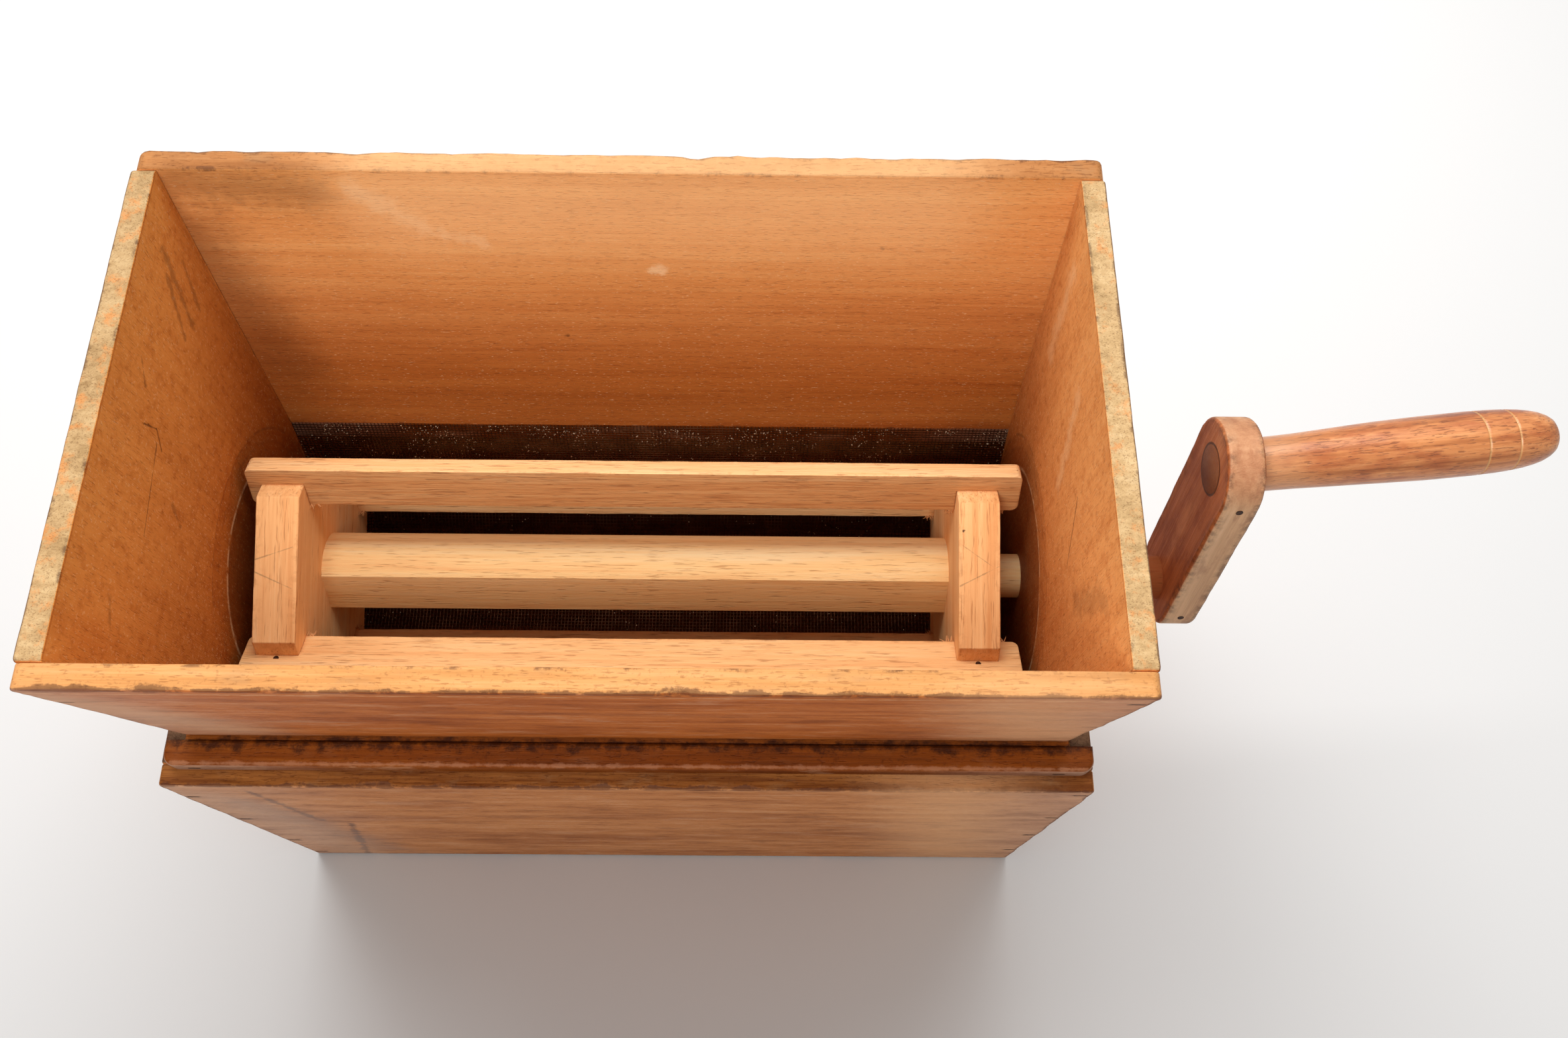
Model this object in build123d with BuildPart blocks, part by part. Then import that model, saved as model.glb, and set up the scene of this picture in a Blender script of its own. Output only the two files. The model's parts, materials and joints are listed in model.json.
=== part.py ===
"""Antique hand-cranked wooden flour sifter.

A hopper with sloping front and back boards carries a wire-cloth trough and a four-paddle
rotor; its two rails rest on the rim of a separate receiver box. A wooden crank on the
right-hand end turns the rotor.

Frame: origin at the centre of the receiver's underside, +X along the rotor towards the
crank, +Y to the back, +Z up. All lengths in millimetres, all angles in degrees.
"""
import math
import os

from build123d import *

# ---- stock ----
BOARD = 7.6                      # planed board thickness, end boards and receiver
PANEL = 7.5                      # sloping boards, measured level

# ---- receiver box ----
REC_L = 323.0
REC_D = 177.4
REC_H = 174.5
SLOT_R = 10.5                    # half width of the open slot the shaft drops into

# ---- hopper ----
HOP_L = 305.0
TOP_Z = 290.0
FRONT_Y = -84.5                  # outer front edge of the rim
BACK_Y = 89.5                    # outer back edge of the rim
FRONT_DROP = 109.2               # height of the front board
FRONT_LEAN = 12.1                # how far its foot comes in
BACK_DROP = 137.1
BACK_LEAN = 21.4

# ---- rotor axis, screen ----
AXIS_Z = 146.9
SCREEN_R = 56.8
SCREEN_T = 0.8
SCREEN_SIDE_GAP = 0.5            # the cloth stops short of the outer end faces
SCREEN_TOP_GAP = 0.4             # hairline under the two boards
WEAR_R = 55.2
WEAR_DEPTH = 0.3

# ---- rails ----
RAIL_LEFT = -158.9
RAIL_RIGHT = 160.7
RAIL_T = 6.1
RAIL_FRONT_Y = -83.0
RAIL_BACK_Y = 83.1
RAIL_LIP_Y = -73.7               # back of the visible moulding
TONGUE_DROP = 1.4                # the part under the front board sits this much lower
RAIL_PLAN_R = 4.5
RAIL_EDGE_R = 1.6
BATTEN_H = 8.5
BATTEN_D = 6.6

# ---- rotor ----
ROTOR_TILT = 25.5                # front-upper paddle above the horizontal
PADDLE_COUNT = 4
PADDLE_LEFT = -141.7
PADDLE_RIGHT = 139.9
PADDLE_IN = 37.6
PADDLE_OUT = 54.2
PADDLE_T = 7.3
PADDLE_END_R = 3.6
PLATE_HALF = 40.4                # half the side of the square plates
PLATE_FLAT = 26.2                # half the flat left between the cut corners
PLATE_LEFT = (-136.7, -121.3)
PLATE_RIGHT = (116.6, 131.6)
BAR_R = 14.6
BAR_FLAT = 11.9                  # distance of the two planed flats from the axis
JOURNAL_R = 8.5
JOURNAL_FIT = 0.08
JOURNAL_CHAMFER = 0.8
JOURNAL_LEFT_END = -151.7

# ---- crank ----
ARM_IN_X = 200.1
ARM_T = 12.9
ARM_W = 36.4
ARM_LEN = 72.9
ARM_ANGLE = 78.6                 # from +Y up to the arm
ARM_EDGE_R = 1.4
STUB_R = 6.4                     # shaft end inside the arm
HANDLE_YAW = 5.7                 # the handle leans to the back
HANDLE_RISE = 2.4                # and a little upward
TENON_R = 8.8
TENON_RUN = 6.0                  # extra tenon length, trimmed flush with the arm
HANDLE_PROFILE = ((0.0, 9.4), (15.5, 9.55), (44.5, 10.7), (76.5, 11.2), (89.5, 10.65), (97.5, 9.5))
HANDLE_END = 105.8
HANDLE_END_R = 5.2
RINGS = ((78.6, 11.2), (89.4, 10.65))   # scribed rings: distance along the handle, its radius there
RING_DEPTH = 0.55
RING_HALF = 1.0
TRIM_BOX = 40.0                  # block that trims the handle flush with both arm faces

# ---- nails, tacks and pins ----
CUT_HEAD_L = 4.2                 # cut nails: flat heads set along the grain
CUT_HEAD_W = 1.1
CUT_SHANK_L = 2.4
CUT_SHANK_W = 0.9
NAIL_HEAD_T = 0.6
NAIL_LEN = 22.0
HOPPER_NAILS_LEFT = (265.9, 224.3)
HOPPER_NAILS_RIGHT = (278.3, 224.8)
HOPPER_BACK_NAILS = (272.0, 222.0, 172.0)
REC_NAILS_LEFT = (152.8, 102.3, 43.9, 6.5)
REC_NAILS_RIGHT = (168.0, 118.7, 74.0, 28.2)
REC_BACK_NAILS = (160.0, 110.0, 60.0, 12.0)
FLOOR_NAIL_Y = (-60.0, 0.0, 60.0)
RAIL_NAIL_LEN = 24.6
BACK_RAIL_NAIL_LEN = 19.0
BATTEN_NAIL_LEN = 15.0
PADDLE_NAIL_LEN = 14.0
PADDLE_NAIL_R = 0.7
PADDLE_NAIL_HEAD_R = 1.0
PADDLE_NAIL_REACH = 48.9         # head's distance from the axis, on the paddle's leading face
PADDLE_NAIL_SLANT = 38.0         # driven slanting into the plate's cut corner
TACK_R = 0.6
TACK_LEN = 7.0
TACK_HEAD_R = 2.0
TACK_HEAD_T = 0.7
TACK_ANGLES = (205.0, 226.0, 248.0, 270.0, 292.0, 314.0, 335.0)
PIN_R = 1.2
PIN_LEN = 31.0

# ---- derived ----
HALF_L = HOP_L / 2
IN_L = HALF_L - BOARD
ARM_OUT_X = ARM_IN_X + ARM_T
SHAFT_C = (0.0, 0.0, AXIS_Z)
FRONT_FOOT_Z = TOP_Z - FRONT_DROP
BACK_FOOT_Z = TOP_Z - BACK_DROP
FRONT_TOP_IN = FRONT_Y + PANEL
FRONT_FOOT_IN = FRONT_TOP_IN + FRONT_LEAN
BACK_TOP_IN = BACK_Y - PANEL
BACK_FOOT_IN = BACK_TOP_IN - BACK_LEAN
CORNER_R = (PLATE_HALF + PLATE_FLAT) / math.sqrt(2)
PADDLE_ANGLES = [180.0 - ROTOR_TILT - 90.0 * k for k in range(PADDLE_COUNT)]
CENTRED_MIN = (Align.CENTER, Align.CENTER, Align.MIN)
LEFT_OF = (Align.MAX, Align.CENTER, Align.CENTER)
ALONG_X = (1, 0, 0)
ALONG_Y = (0, 1, 0)


def polar(angle, radius):
    """A point in the (Y, Z) plane around the rotor axis."""
    return (radius * math.cos(math.radians(angle)), AXIS_Z + radius * math.sin(math.radians(angle)))


def tangent_angle(y, z, side):
    """Angle where a line from (y, z) touches the screen circle; side -1 is the back."""
    rel_z = z - AXIS_Z
    reach = math.degrees(math.acos(SCREEN_R / math.hypot(y, rel_z)))
    return math.degrees(math.atan2(rel_z, y)) + side * reach


def shifted(point, angle, distance):
    a = math.radians(angle)
    return (point[0] + distance * math.cos(a), point[1] + distance * math.sin(a))


FRONT_TOUCH = tangent_angle(FRONT_FOOT_IN, FRONT_FOOT_Z, 1)
BACK_TOUCH = tangent_angle(BACK_FOOT_IN, BACK_FOOT_Z, -1)
FRONT_FOOT = (FRONT_FOOT_IN, FRONT_FOOT_Z)
BACK_FOOT = (BACK_FOOT_IN, BACK_FOOT_Z)
BOTTOM_ANGLE = 270.0


def cloth_edge_y(z, out):
    """Y of the cloth's front straight part at height z, pushed outward by out."""
    y_touch, z_touch = polar(FRONT_TOUCH, SCREEN_R)
    share = (FRONT_FOOT_Z - z) / (FRONT_FOOT_Z - z_touch)
    lean = math.cos(math.radians(FRONT_TOUCH))
    return FRONT_FOOT_IN + (y_touch - FRONT_FOOT_IN) * share + out / lean


def front_face_y(z):
    return FRONT_Y + FRONT_LEAN * (TOP_Z - z) / FRONT_DROP


def back_face_y(z):
    return BACK_Y - BACK_LEAN * (TOP_Z - z) / BACK_DROP


def cut_nail(origin, direction, grain, length):
    """One cut nail: flat head flush with the surface at origin, shank along direction."""
    with Locations(Plane(origin=origin, x_dir=grain, z_dir=direction).location):
        Box(CUT_HEAD_L, CUT_HEAD_W, NAIL_HEAD_T, align=CENTRED_MIN)
        Box(CUT_SHANK_L, CUT_SHANK_W, length, align=CENTRED_MIN)


def wire_nail(origin, direction, shank_r, head_r, head_t, length):
    """One round nail, tack or pin: head flush with the surface at origin."""
    with Locations(Plane(origin=origin, z_dir=direction).location):
        Cylinder(head_r, head_t, align=CENTRED_MIN)
        Cylinder(shank_r, length, align=CENTRED_MIN)


def radial(angle):
    return (0.0, math.cos(math.radians(angle)), math.sin(math.radians(angle)))


def radial_plane(angle):
    """Plane through the axis: local x runs along the rotor, local y outwards."""
    a = math.radians(angle)
    return Plane(origin=SHAFT_C, x_dir=(1, 0, 0), z_dir=(0, -math.sin(a), math.cos(a)))


# =============================== receiver box ===============================
with BuildPart() as receiver_front_board:
    with BuildSketch(Plane.XY):
        with Locations((0, -REC_D / 2 + BOARD / 2)):
            Rectangle(REC_L, BOARD)
    extrude(amount=REC_H)

with BuildPart() as receiver_back_board:
    with BuildSketch(Plane.XY):
        with Locations((0, REC_D / 2 - BOARD / 2)):
            Rectangle(REC_L, BOARD)
    extrude(amount=REC_H)

with BuildPart() as receiver_left_end:
    with BuildSketch(Plane.XY):
        with Locations((-REC_L / 2 + BOARD / 2, 0)):
            Rectangle(BOARD, REC_D - 2 * BOARD)
    extrude(amount=REC_H)

with BuildPart() as receiver_right_end:
    with BuildSketch(Plane.XY):
        with Locations((REC_L / 2 - BOARD / 2, 0)):
            Rectangle(BOARD, REC_D - 2 * BOARD)
    extrude(amount=REC_H)
    with BuildSketch(Plane.YZ.offset(REC_L / 2 - BOARD)):
        with Locations((0, AXIS_Z)):
            Circle(SLOT_R)
        with Locations((0, (AXIS_Z + REC_H) / 2)):
            Rectangle(2 * SLOT_R, REC_H - AXIS_Z)
    extrude(amount=BOARD, mode=Mode.SUBTRACT)

with BuildPart() as receiver_floor:
    with BuildSketch(Plane.XY):
        Rectangle(REC_L - 2 * BOARD, REC_D - 2 * BOARD)
    extrude(amount=BOARD)

with BuildPart() as receiver_nails:
    for side, front_heights in ((-1, REC_NAILS_LEFT), (1, REC_NAILS_RIGHT)):
        x = side * (REC_L - BOARD) / 2
        for z in front_heights:
            cut_nail((x, -REC_D / 2, z), (0, 1, 0), ALONG_X, NAIL_LEN)
        for z in REC_BACK_NAILS:
            cut_nail((x, REC_D / 2, z), (0, -1, 0), ALONG_X, NAIL_LEN)
        for y in FLOOR_NAIL_Y:
            cut_nail((side * REC_L / 2, y, BOARD / 2), (-side, 0, 0), ALONG_Y, NAIL_LEN)

# ================================== hopper ==================================
with BuildPart() as hopper_front_board:
    with BuildSketch(Plane.YZ.offset(-HALF_L)):
        with BuildLine():
            Polyline((FRONT_Y, TOP_Z), (FRONT_TOP_IN, TOP_Z), FRONT_FOOT,
                     (FRONT_FOOT_IN - PANEL, FRONT_FOOT_Z), close=True)
        make_face()
    extrude(amount=HOP_L)

with BuildPart() as hopper_back_board:
    with BuildSketch(Plane.YZ.offset(-HALF_L)):
        with BuildLine():
            Polyline((BACK_Y, TOP_Z), (BACK_TOP_IN, TOP_Z), BACK_FOOT,
                     (BACK_FOOT_IN + PANEL, BACK_FOOT_Z), close=True)
        make_face()
    extrude(amount=HOP_L)


def hopper_end(side):
    """End board: sloping sides above, a half-round foot for the cloth below."""
    start = -HALF_L if side < 0 else IN_L
    inner = -IN_L if side < 0 else IN_L
    with BuildPart() as board:
        with BuildSketch(Plane.YZ.offset(start)):
            with BuildLine():
                Polyline(polar(FRONT_TOUCH, SCREEN_R), FRONT_FOOT, (FRONT_TOP_IN, TOP_Z),
                         (BACK_TOP_IN, TOP_Z), BACK_FOOT, polar(BACK_TOUCH, SCREEN_R))
                ThreePointArc(polar(BACK_TOUCH, SCREEN_R), polar(BOTTOM_ANGLE, SCREEN_R),
                              polar(FRONT_TOUCH, SCREEN_R))
            make_face()
        extrude(amount=BOARD)
        with BuildSketch(Plane.YZ.offset(start)):
            with Locations((0, AXIS_Z)):
                Circle(JOURNAL_R + JOURNAL_FIT)
        extrude(amount=BOARD, mode=Mode.SUBTRACT)
        with BuildSketch(Plane.YZ.offset(inner)):
            with Locations((0, AXIS_Z)):
                Circle(WEAR_R)
        extrude(amount=side * WEAR_DEPTH, mode=Mode.SUBTRACT)
    return board


hopper_left_end = hopper_end(-1)
hopper_right_end = hopper_end(1)

with BuildPart() as front_rail:
    with BuildSketch(Plane.XY.offset(REC_H)):
        with Locations(((RAIL_LEFT + RAIL_RIGHT) / 2, (RAIL_FRONT_Y + RAIL_LIP_Y) / 2)):
            Rectangle(RAIL_RIGHT - RAIL_LEFT, RAIL_LIP_Y - RAIL_FRONT_Y)
    extrude(amount=RAIL_T)
    fillet(front_rail.edges().filter_by(Axis.Z).group_by(Axis.Y)[0], radius=RAIL_PLAN_R)
    fillet(front_rail.faces().sort_by(Axis.Z)[-1].outer_wire().edges(), radius=RAIL_EDGE_R)
    tongue_top = REC_H + RAIL_T - TONGUE_DROP
    with BuildSketch(Plane.YZ.offset(-HALF_L)):
        with BuildLine():
            Polyline((RAIL_LIP_Y, REC_H), (cloth_edge_y(REC_H, SCREEN_T), REC_H),
                     (cloth_edge_y(tongue_top, SCREEN_T), tongue_top), (RAIL_LIP_Y, tongue_top),
                     close=True)
        make_face()
    extrude(amount=HOP_L)

with BuildPart() as back_rail:
    with BuildSketch(Plane.YZ.offset(RAIL_LEFT)):
        with BuildLine():
            Polyline((back_face_y(REC_H), REC_H), (RAIL_BACK_Y, REC_H),
                     (RAIL_BACK_Y, REC_H + RAIL_T), (back_face_y(REC_H + RAIL_T), REC_H + RAIL_T),
                     close=True)
        make_face()
    extrude(amount=RAIL_RIGHT - RAIL_LEFT)
    fillet(back_rail.edges().filter_by(Axis.Z).group_by(Axis.Y)[-1], radius=RAIL_PLAN_R)

with BuildPart() as screen:
    front_out = shifted(FRONT_FOOT, FRONT_TOUCH, SCREEN_T)
    back_out = shifted(BACK_FOOT, BACK_TOUCH, SCREEN_T)
    with BuildSketch(Plane.YZ.offset(-HALF_L + SCREEN_SIDE_GAP)):
        with BuildLine():
            Polyline(polar(FRONT_TOUCH, SCREEN_R), FRONT_FOOT, front_out,
                     polar(FRONT_TOUCH, SCREEN_R + SCREEN_T))
            ThreePointArc(polar(FRONT_TOUCH, SCREEN_R + SCREEN_T),
                          polar(BOTTOM_ANGLE, SCREEN_R + SCREEN_T),
                          polar(BACK_TOUCH, SCREEN_R + SCREEN_T))
            Polyline(polar(BACK_TOUCH, SCREEN_R + SCREEN_T), back_out, BACK_FOOT,
                     polar(BACK_TOUCH, SCREEN_R))
            ThreePointArc(polar(BACK_TOUCH, SCREEN_R), polar(BOTTOM_ANGLE, SCREEN_R),
                          polar(FRONT_TOUCH, SCREEN_R))
        make_face()
    extrude(amount=HOP_L - 2 * SCREEN_SIDE_GAP)
    with BuildSketch(Plane.XY.offset(FRONT_FOOT_Z - SCREEN_TOP_GAP)):
        with Locations((0, FRONT_FOOT_IN)):
            Rectangle(HOP_L, PANEL)
    extrude(amount=BOARD, mode=Mode.SUBTRACT)
    with BuildSketch(Plane.XY.offset(BACK_FOOT_Z - SCREEN_TOP_GAP)):
        with Locations((0, BACK_FOOT_IN)):
            Rectangle(HOP_L, PANEL)
    extrude(amount=BOARD, mode=Mode.SUBTRACT)

with BuildPart() as screen_batten:
    batten_top = shifted(BACK_FOOT, BACK_TOUCH, SCREEN_T)
    run = math.radians(BACK_TOUCH - 90.0)
    batten_low = (batten_top[0] + BATTEN_H * math.cos(run), batten_top[1] + BATTEN_H * math.sin(run))
    low_z = batten_low[1]
    with BuildSketch(Plane.YZ.offset(-HALF_L)):
        with BuildLine():
            Polyline(batten_low, (batten_low[0] + BATTEN_D, low_z),
                     (batten_low[0] + BATTEN_D, BACK_FOOT_Z),
                     (batten_top[0] + (BACK_FOOT_Z - batten_top[1]) / math.tan(run), BACK_FOOT_Z),
                     close=True)
        make_face()
    extrude(amount=HOP_L)

with BuildPart() as hopper_nails:
    front_dir = (0, FRONT_DROP, FRONT_LEAN)
    back_dir = (0, -BACK_DROP, BACK_LEAN)
    for side, front_heights in ((-1, HOPPER_NAILS_LEFT), (1, HOPPER_NAILS_RIGHT)):
        x = side * (HALF_L - BOARD / 2)
        for z in front_heights:
            cut_nail((x, front_face_y(z), z), front_dir, ALONG_X, NAIL_LEN)
        for z in HOPPER_BACK_NAILS:
            cut_nail((x, back_face_y(z), z), back_dir, ALONG_X, NAIL_LEN)

with BuildPart() as rail_nails:
    for side in (-1, 1):
        x = side * (HALF_L - BOARD / 2)
        z = REC_H + RAIL_T / 2 - TONGUE_DROP / 2
        cut_nail((x, RAIL_FRONT_Y, z), (0, 1, 0), ALONG_X, RAIL_NAIL_LEN)
        cut_nail((x, RAIL_BACK_Y, z), (0, -1, 0), ALONG_X, BACK_RAIL_NAIL_LEN)
        batten_z = (low_z + BACK_FOOT_Z) / 2
        cut_nail((x, batten_low[0] + BATTEN_D, batten_z), (0, -1, 0), ALONG_X, BATTEN_NAIL_LEN)

with BuildPart() as screen_tacks:
    for side in (-1, 1):
        x = side * (HALF_L - BOARD / 2)
        for angle in TACK_ANGLES:
            y, z = polar(angle, SCREEN_R + SCREEN_T + TACK_HEAD_T)
            inward = radial(angle + 180.0)
            wire_nail((x, y, z), inward, TACK_R, TACK_HEAD_R, TACK_HEAD_T, TACK_LEN)

# =================================== rotor ===================================
with BuildPart() as rotor_shaft:
    bar_left = PLATE_LEFT[1]
    bar_right = PLATE_RIGHT[0]
    with BuildSketch(Plane.YZ.offset(bar_left)):
        with Locations((0, AXIS_Z)):
            Circle(BAR_R)
    extrude(amount=bar_right - bar_left)
    for angle in (PADDLE_ANGLES[0], PADDLE_ANGLES[2]):
        flat_centre = tuple(c + (BAR_FLAT + BAR_R) * r for c, r in zip(SHAFT_C, radial(angle)))
        flat_plane = Plane(origin=flat_centre, x_dir=(1, 0, 0), z_dir=radial(angle))
        with Locations(flat_plane.location):
            Box(2 * HOP_L, 2 * BAR_R, 2 * BAR_R, mode=Mode.SUBTRACT)
    with BuildSketch(Plane.YZ.offset(JOURNAL_LEFT_END)):
        with Locations((0, AXIS_Z)):
            Circle(JOURNAL_R)
    extrude(amount=bar_left - JOURNAL_LEFT_END)
    with BuildSketch(Plane.YZ.offset(bar_right)):
        with Locations((0, AXIS_Z)):
            Circle(JOURNAL_R)
    extrude(amount=ARM_IN_X - bar_right)
    with BuildSketch(Plane.YZ.offset(ARM_IN_X)):
        with Locations((0, AXIS_Z)):
            Circle(STUB_R)
    extrude(amount=ARM_T)
    chamfer(rotor_shaft.faces().sort_by(Axis.X)[0].edges(), length=JOURNAL_CHAMFER)


def rotor_plate(span):
    """Square plate with its corners cut off where the paddles sit."""
    corners = []
    for angle in PADDLE_ANGLES:
        for turn in (1, -1):
            reach = math.hypot(PLATE_HALF, PLATE_FLAT)
            offset = math.degrees(math.atan2(PLATE_HALF - PLATE_FLAT, PLATE_HALF + PLATE_FLAT))
            corners.append(polar(angle + turn * offset, reach))
    with BuildPart() as plate:
        with BuildSketch(Plane.YZ.offset(span[0])):
            with BuildLine():
                Polyline(*corners, close=True)
            make_face()
            with Locations((0, AXIS_Z)):
                Circle(JOURNAL_R, mode=Mode.SUBTRACT)
        extrude(amount=span[1] - span[0])
    return plate


left_plate = rotor_plate(PLATE_LEFT)
right_plate = rotor_plate(PLATE_RIGHT)


def rotor_paddle(angle):
    """Straight board in a radial plane, notched over the cut corners of both plates."""
    plane = radial_plane(angle)
    middle_x = (PADDLE_LEFT + PADDLE_RIGHT) / 2
    middle_r = (PADDLE_IN + PADDLE_OUT) / 2
    with BuildPart() as paddle:
        with BuildSketch(plane):
            with Locations((middle_x, middle_r)):
                outline = Rectangle(PADDLE_RIGHT - PADDLE_LEFT, PADDLE_OUT - PADDLE_IN)
            inner = outline.vertices().group_by(lambda v: radius_of(v))[0]
            fillet(inner, radius=PADDLE_END_R)
        extrude(amount=PADDLE_T / 2, both=True)
        for span in (PLATE_LEFT, PLATE_RIGHT):
            with BuildSketch(plane):
                with Locations(((span[0] + span[1]) / 2, (PADDLE_IN + CORNER_R) / 2)):
                    Rectangle(span[1] - span[0], CORNER_R - PADDLE_IN)
            extrude(amount=PADDLE_T, both=True, mode=Mode.SUBTRACT)
    return paddle


def radius_of(vertex):
    return round(math.hypot(vertex.Y, vertex.Z - AXIS_Z), 3)


paddles = [rotor_paddle(angle) for angle in PADDLE_ANGLES]

with BuildPart() as paddle_nails:
    for angle in PADDLE_ANGLES:
        for span in (PLATE_LEFT, PLATE_RIGHT):
            x = (span[0] + span[1]) / 2
            y, z = shifted(polar(angle, PADDLE_NAIL_REACH), angle - 90.0, PADDLE_T / 2)
            inward = radial(angle + 180.0 - PADDLE_NAIL_SLANT)
            wire_nail((x, y, z), inward, PADDLE_NAIL_R, PADDLE_NAIL_HEAD_R, NAIL_HEAD_T,
                      PADDLE_NAIL_LEN)

# =================================== crank ===================================
ARM_DIR = radial(ARM_ANGLE)
HANDLE_C = tuple(c + ARM_LEN * d for c, d in zip(SHAFT_C, ARM_DIR))
HANDLE_DIR = (1.0, math.tan(math.radians(HANDLE_YAW)), math.tan(math.radians(HANDLE_RISE)))
HANDLE_ORIGIN = (ARM_IN_X, HANDLE_C[1], HANDLE_C[2])
HANDLE_PLANE = Plane(origin=HANDLE_ORIGIN, x_dir=(0, -HANDLE_DIR[2], HANDLE_DIR[1]), z_dir=HANDLE_DIR)
PROFILE_PLANE = Plane(origin=HANDLE_ORIGIN, x_dir=HANDLE_PLANE.x_dir, z_dir=HANDLE_PLANE.y_dir)
HANDLE_FACE = ARM_T * math.sqrt(sum(d * d for d in HANDLE_DIR))

with BuildPart() as crank_arm:
    with BuildSketch(Plane.YZ.offset(ARM_IN_X)):
        with Locations(Location((ARM_LEN / 2 * ARM_DIR[1], AXIS_Z + ARM_LEN / 2 * ARM_DIR[2]), ARM_ANGLE)):
            SlotCenterToCenter(ARM_LEN, ARM_W)
    extrude(amount=ARM_T)
    fillet(crank_arm.faces().filter_by(Axis.X).edges(), radius=ARM_EDGE_R)
    with BuildSketch(Plane.YZ.offset(ARM_IN_X)):
        with Locations((0, AXIS_Z)):
            Circle(STUB_R)
    extrude(amount=ARM_T, mode=Mode.SUBTRACT)
    with Locations(HANDLE_PLANE.location):
        Cylinder(TENON_R, 2 * TRIM_BOX, mode=Mode.SUBTRACT)

with BuildPart() as crank_handle:
    with BuildSketch(PROFILE_PLANE):
        with BuildLine():
            rim = [(r, -s - HANDLE_FACE) for s, r in HANDLE_PROFILE]
            start = (rim[0][0], rim[0][1] + TENON_RUN)
            end = (HANDLE_END_R, -HANDLE_END - HANDLE_FACE)
            Polyline((0, start[1]), start, rim[0])
            Spline(*rim)
            TangentArc(rim[-1], end, tangent=(rim[-1][0] - rim[-2][0], rim[-1][1] - rim[-2][1]))
            Polyline(end, (0, end[1]), (0, start[1]))
        make_face()
    revolve(axis=Axis(HANDLE_ORIGIN, HANDLE_DIR))
    for at, ring_r in RINGS:
        low = -at - HANDLE_FACE
        with BuildSketch(PROFILE_PLANE):
            with BuildLine():
                Polyline((ring_r - RING_DEPTH, low), (ring_r + RING_DEPTH, low + RING_HALF),
                         (ring_r + RING_DEPTH, low - RING_HALF), close=True)
            make_face()
        revolve(axis=Axis(HANDLE_ORIGIN, HANDLE_DIR), mode=Mode.SUBTRACT)
    with Locations((ARM_OUT_X, HANDLE_C[1], HANDLE_C[2])):
        Box(TRIM_BOX, TRIM_BOX, TRIM_BOX, align=LEFT_OF, mode=Mode.SUBTRACT)
    with Locations(HANDLE_PLANE.location):
        Cylinder(TENON_R, 2 * (HANDLE_FACE + TENON_RUN))
    with Locations((ARM_IN_X, HANDLE_C[1], HANDLE_C[2])):
        Box(TRIM_BOX, TRIM_BOX, TRIM_BOX, align=LEFT_OF, mode=Mode.SUBTRACT)

with BuildPart() as crank_pins:
    pin_dir = radial(ARM_ANGLE - 90.0)
    for reach in (0.0, ARM_LEN):
        y = reach * ARM_DIR[1] - ARM_W / 2 * pin_dir[1]
        z = AXIS_Z + reach * ARM_DIR[2] - ARM_W / 2 * pin_dir[2]
        wire_nail((ARM_IN_X + ARM_T / 2, y, z), pin_dir, PIN_R, PIN_R, NAIL_HEAD_T, PIN_LEN)

# =================================== export ===================================
PIECES = {
    "receiver_front_board": receiver_front_board,
    "receiver_back_board": receiver_back_board,
    "receiver_left_end": receiver_left_end,
    "receiver_right_end": receiver_right_end,
    "receiver_floor": receiver_floor,
    "receiver_nails": receiver_nails,
    "hopper_front_board": hopper_front_board,
    "hopper_back_board": hopper_back_board,
    "hopper_left_end": hopper_left_end,
    "hopper_right_end": hopper_right_end,
    "front_rail": front_rail,
    "back_rail": back_rail,
    "screen": screen,
    "screen_batten": screen_batten,
    "hopper_nails": hopper_nails,
    "rail_nails": rail_nails,
    "screen_tacks": screen_tacks,
    "rotor_shaft": rotor_shaft,
    "left_plate": left_plate,
    "right_plate": right_plate,
    "paddle_front_upper": paddles[0],
    "paddle_back_upper": paddles[1],
    "paddle_back_lower": paddles[2],
    "paddle_front_lower": paddles[3],
    "paddle_nails": paddle_nails,
    "crank_arm": crank_arm,
    "crank_handle": crank_handle,
    "crank_pins": crank_pins,
}

os.makedirs("parts", exist_ok=True)
for label, piece in PIECES.items():
    piece.part.label = label
    export_step(piece.part, f"parts/{label}.step")
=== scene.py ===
"""Looks of a hand-cranked wooden flour sifter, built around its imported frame. Lengths in metres."""
import json
import math
import random

import bmesh
import bpy
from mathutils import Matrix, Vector, noise
from mathutils.geometry import tessellate_polygon

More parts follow.
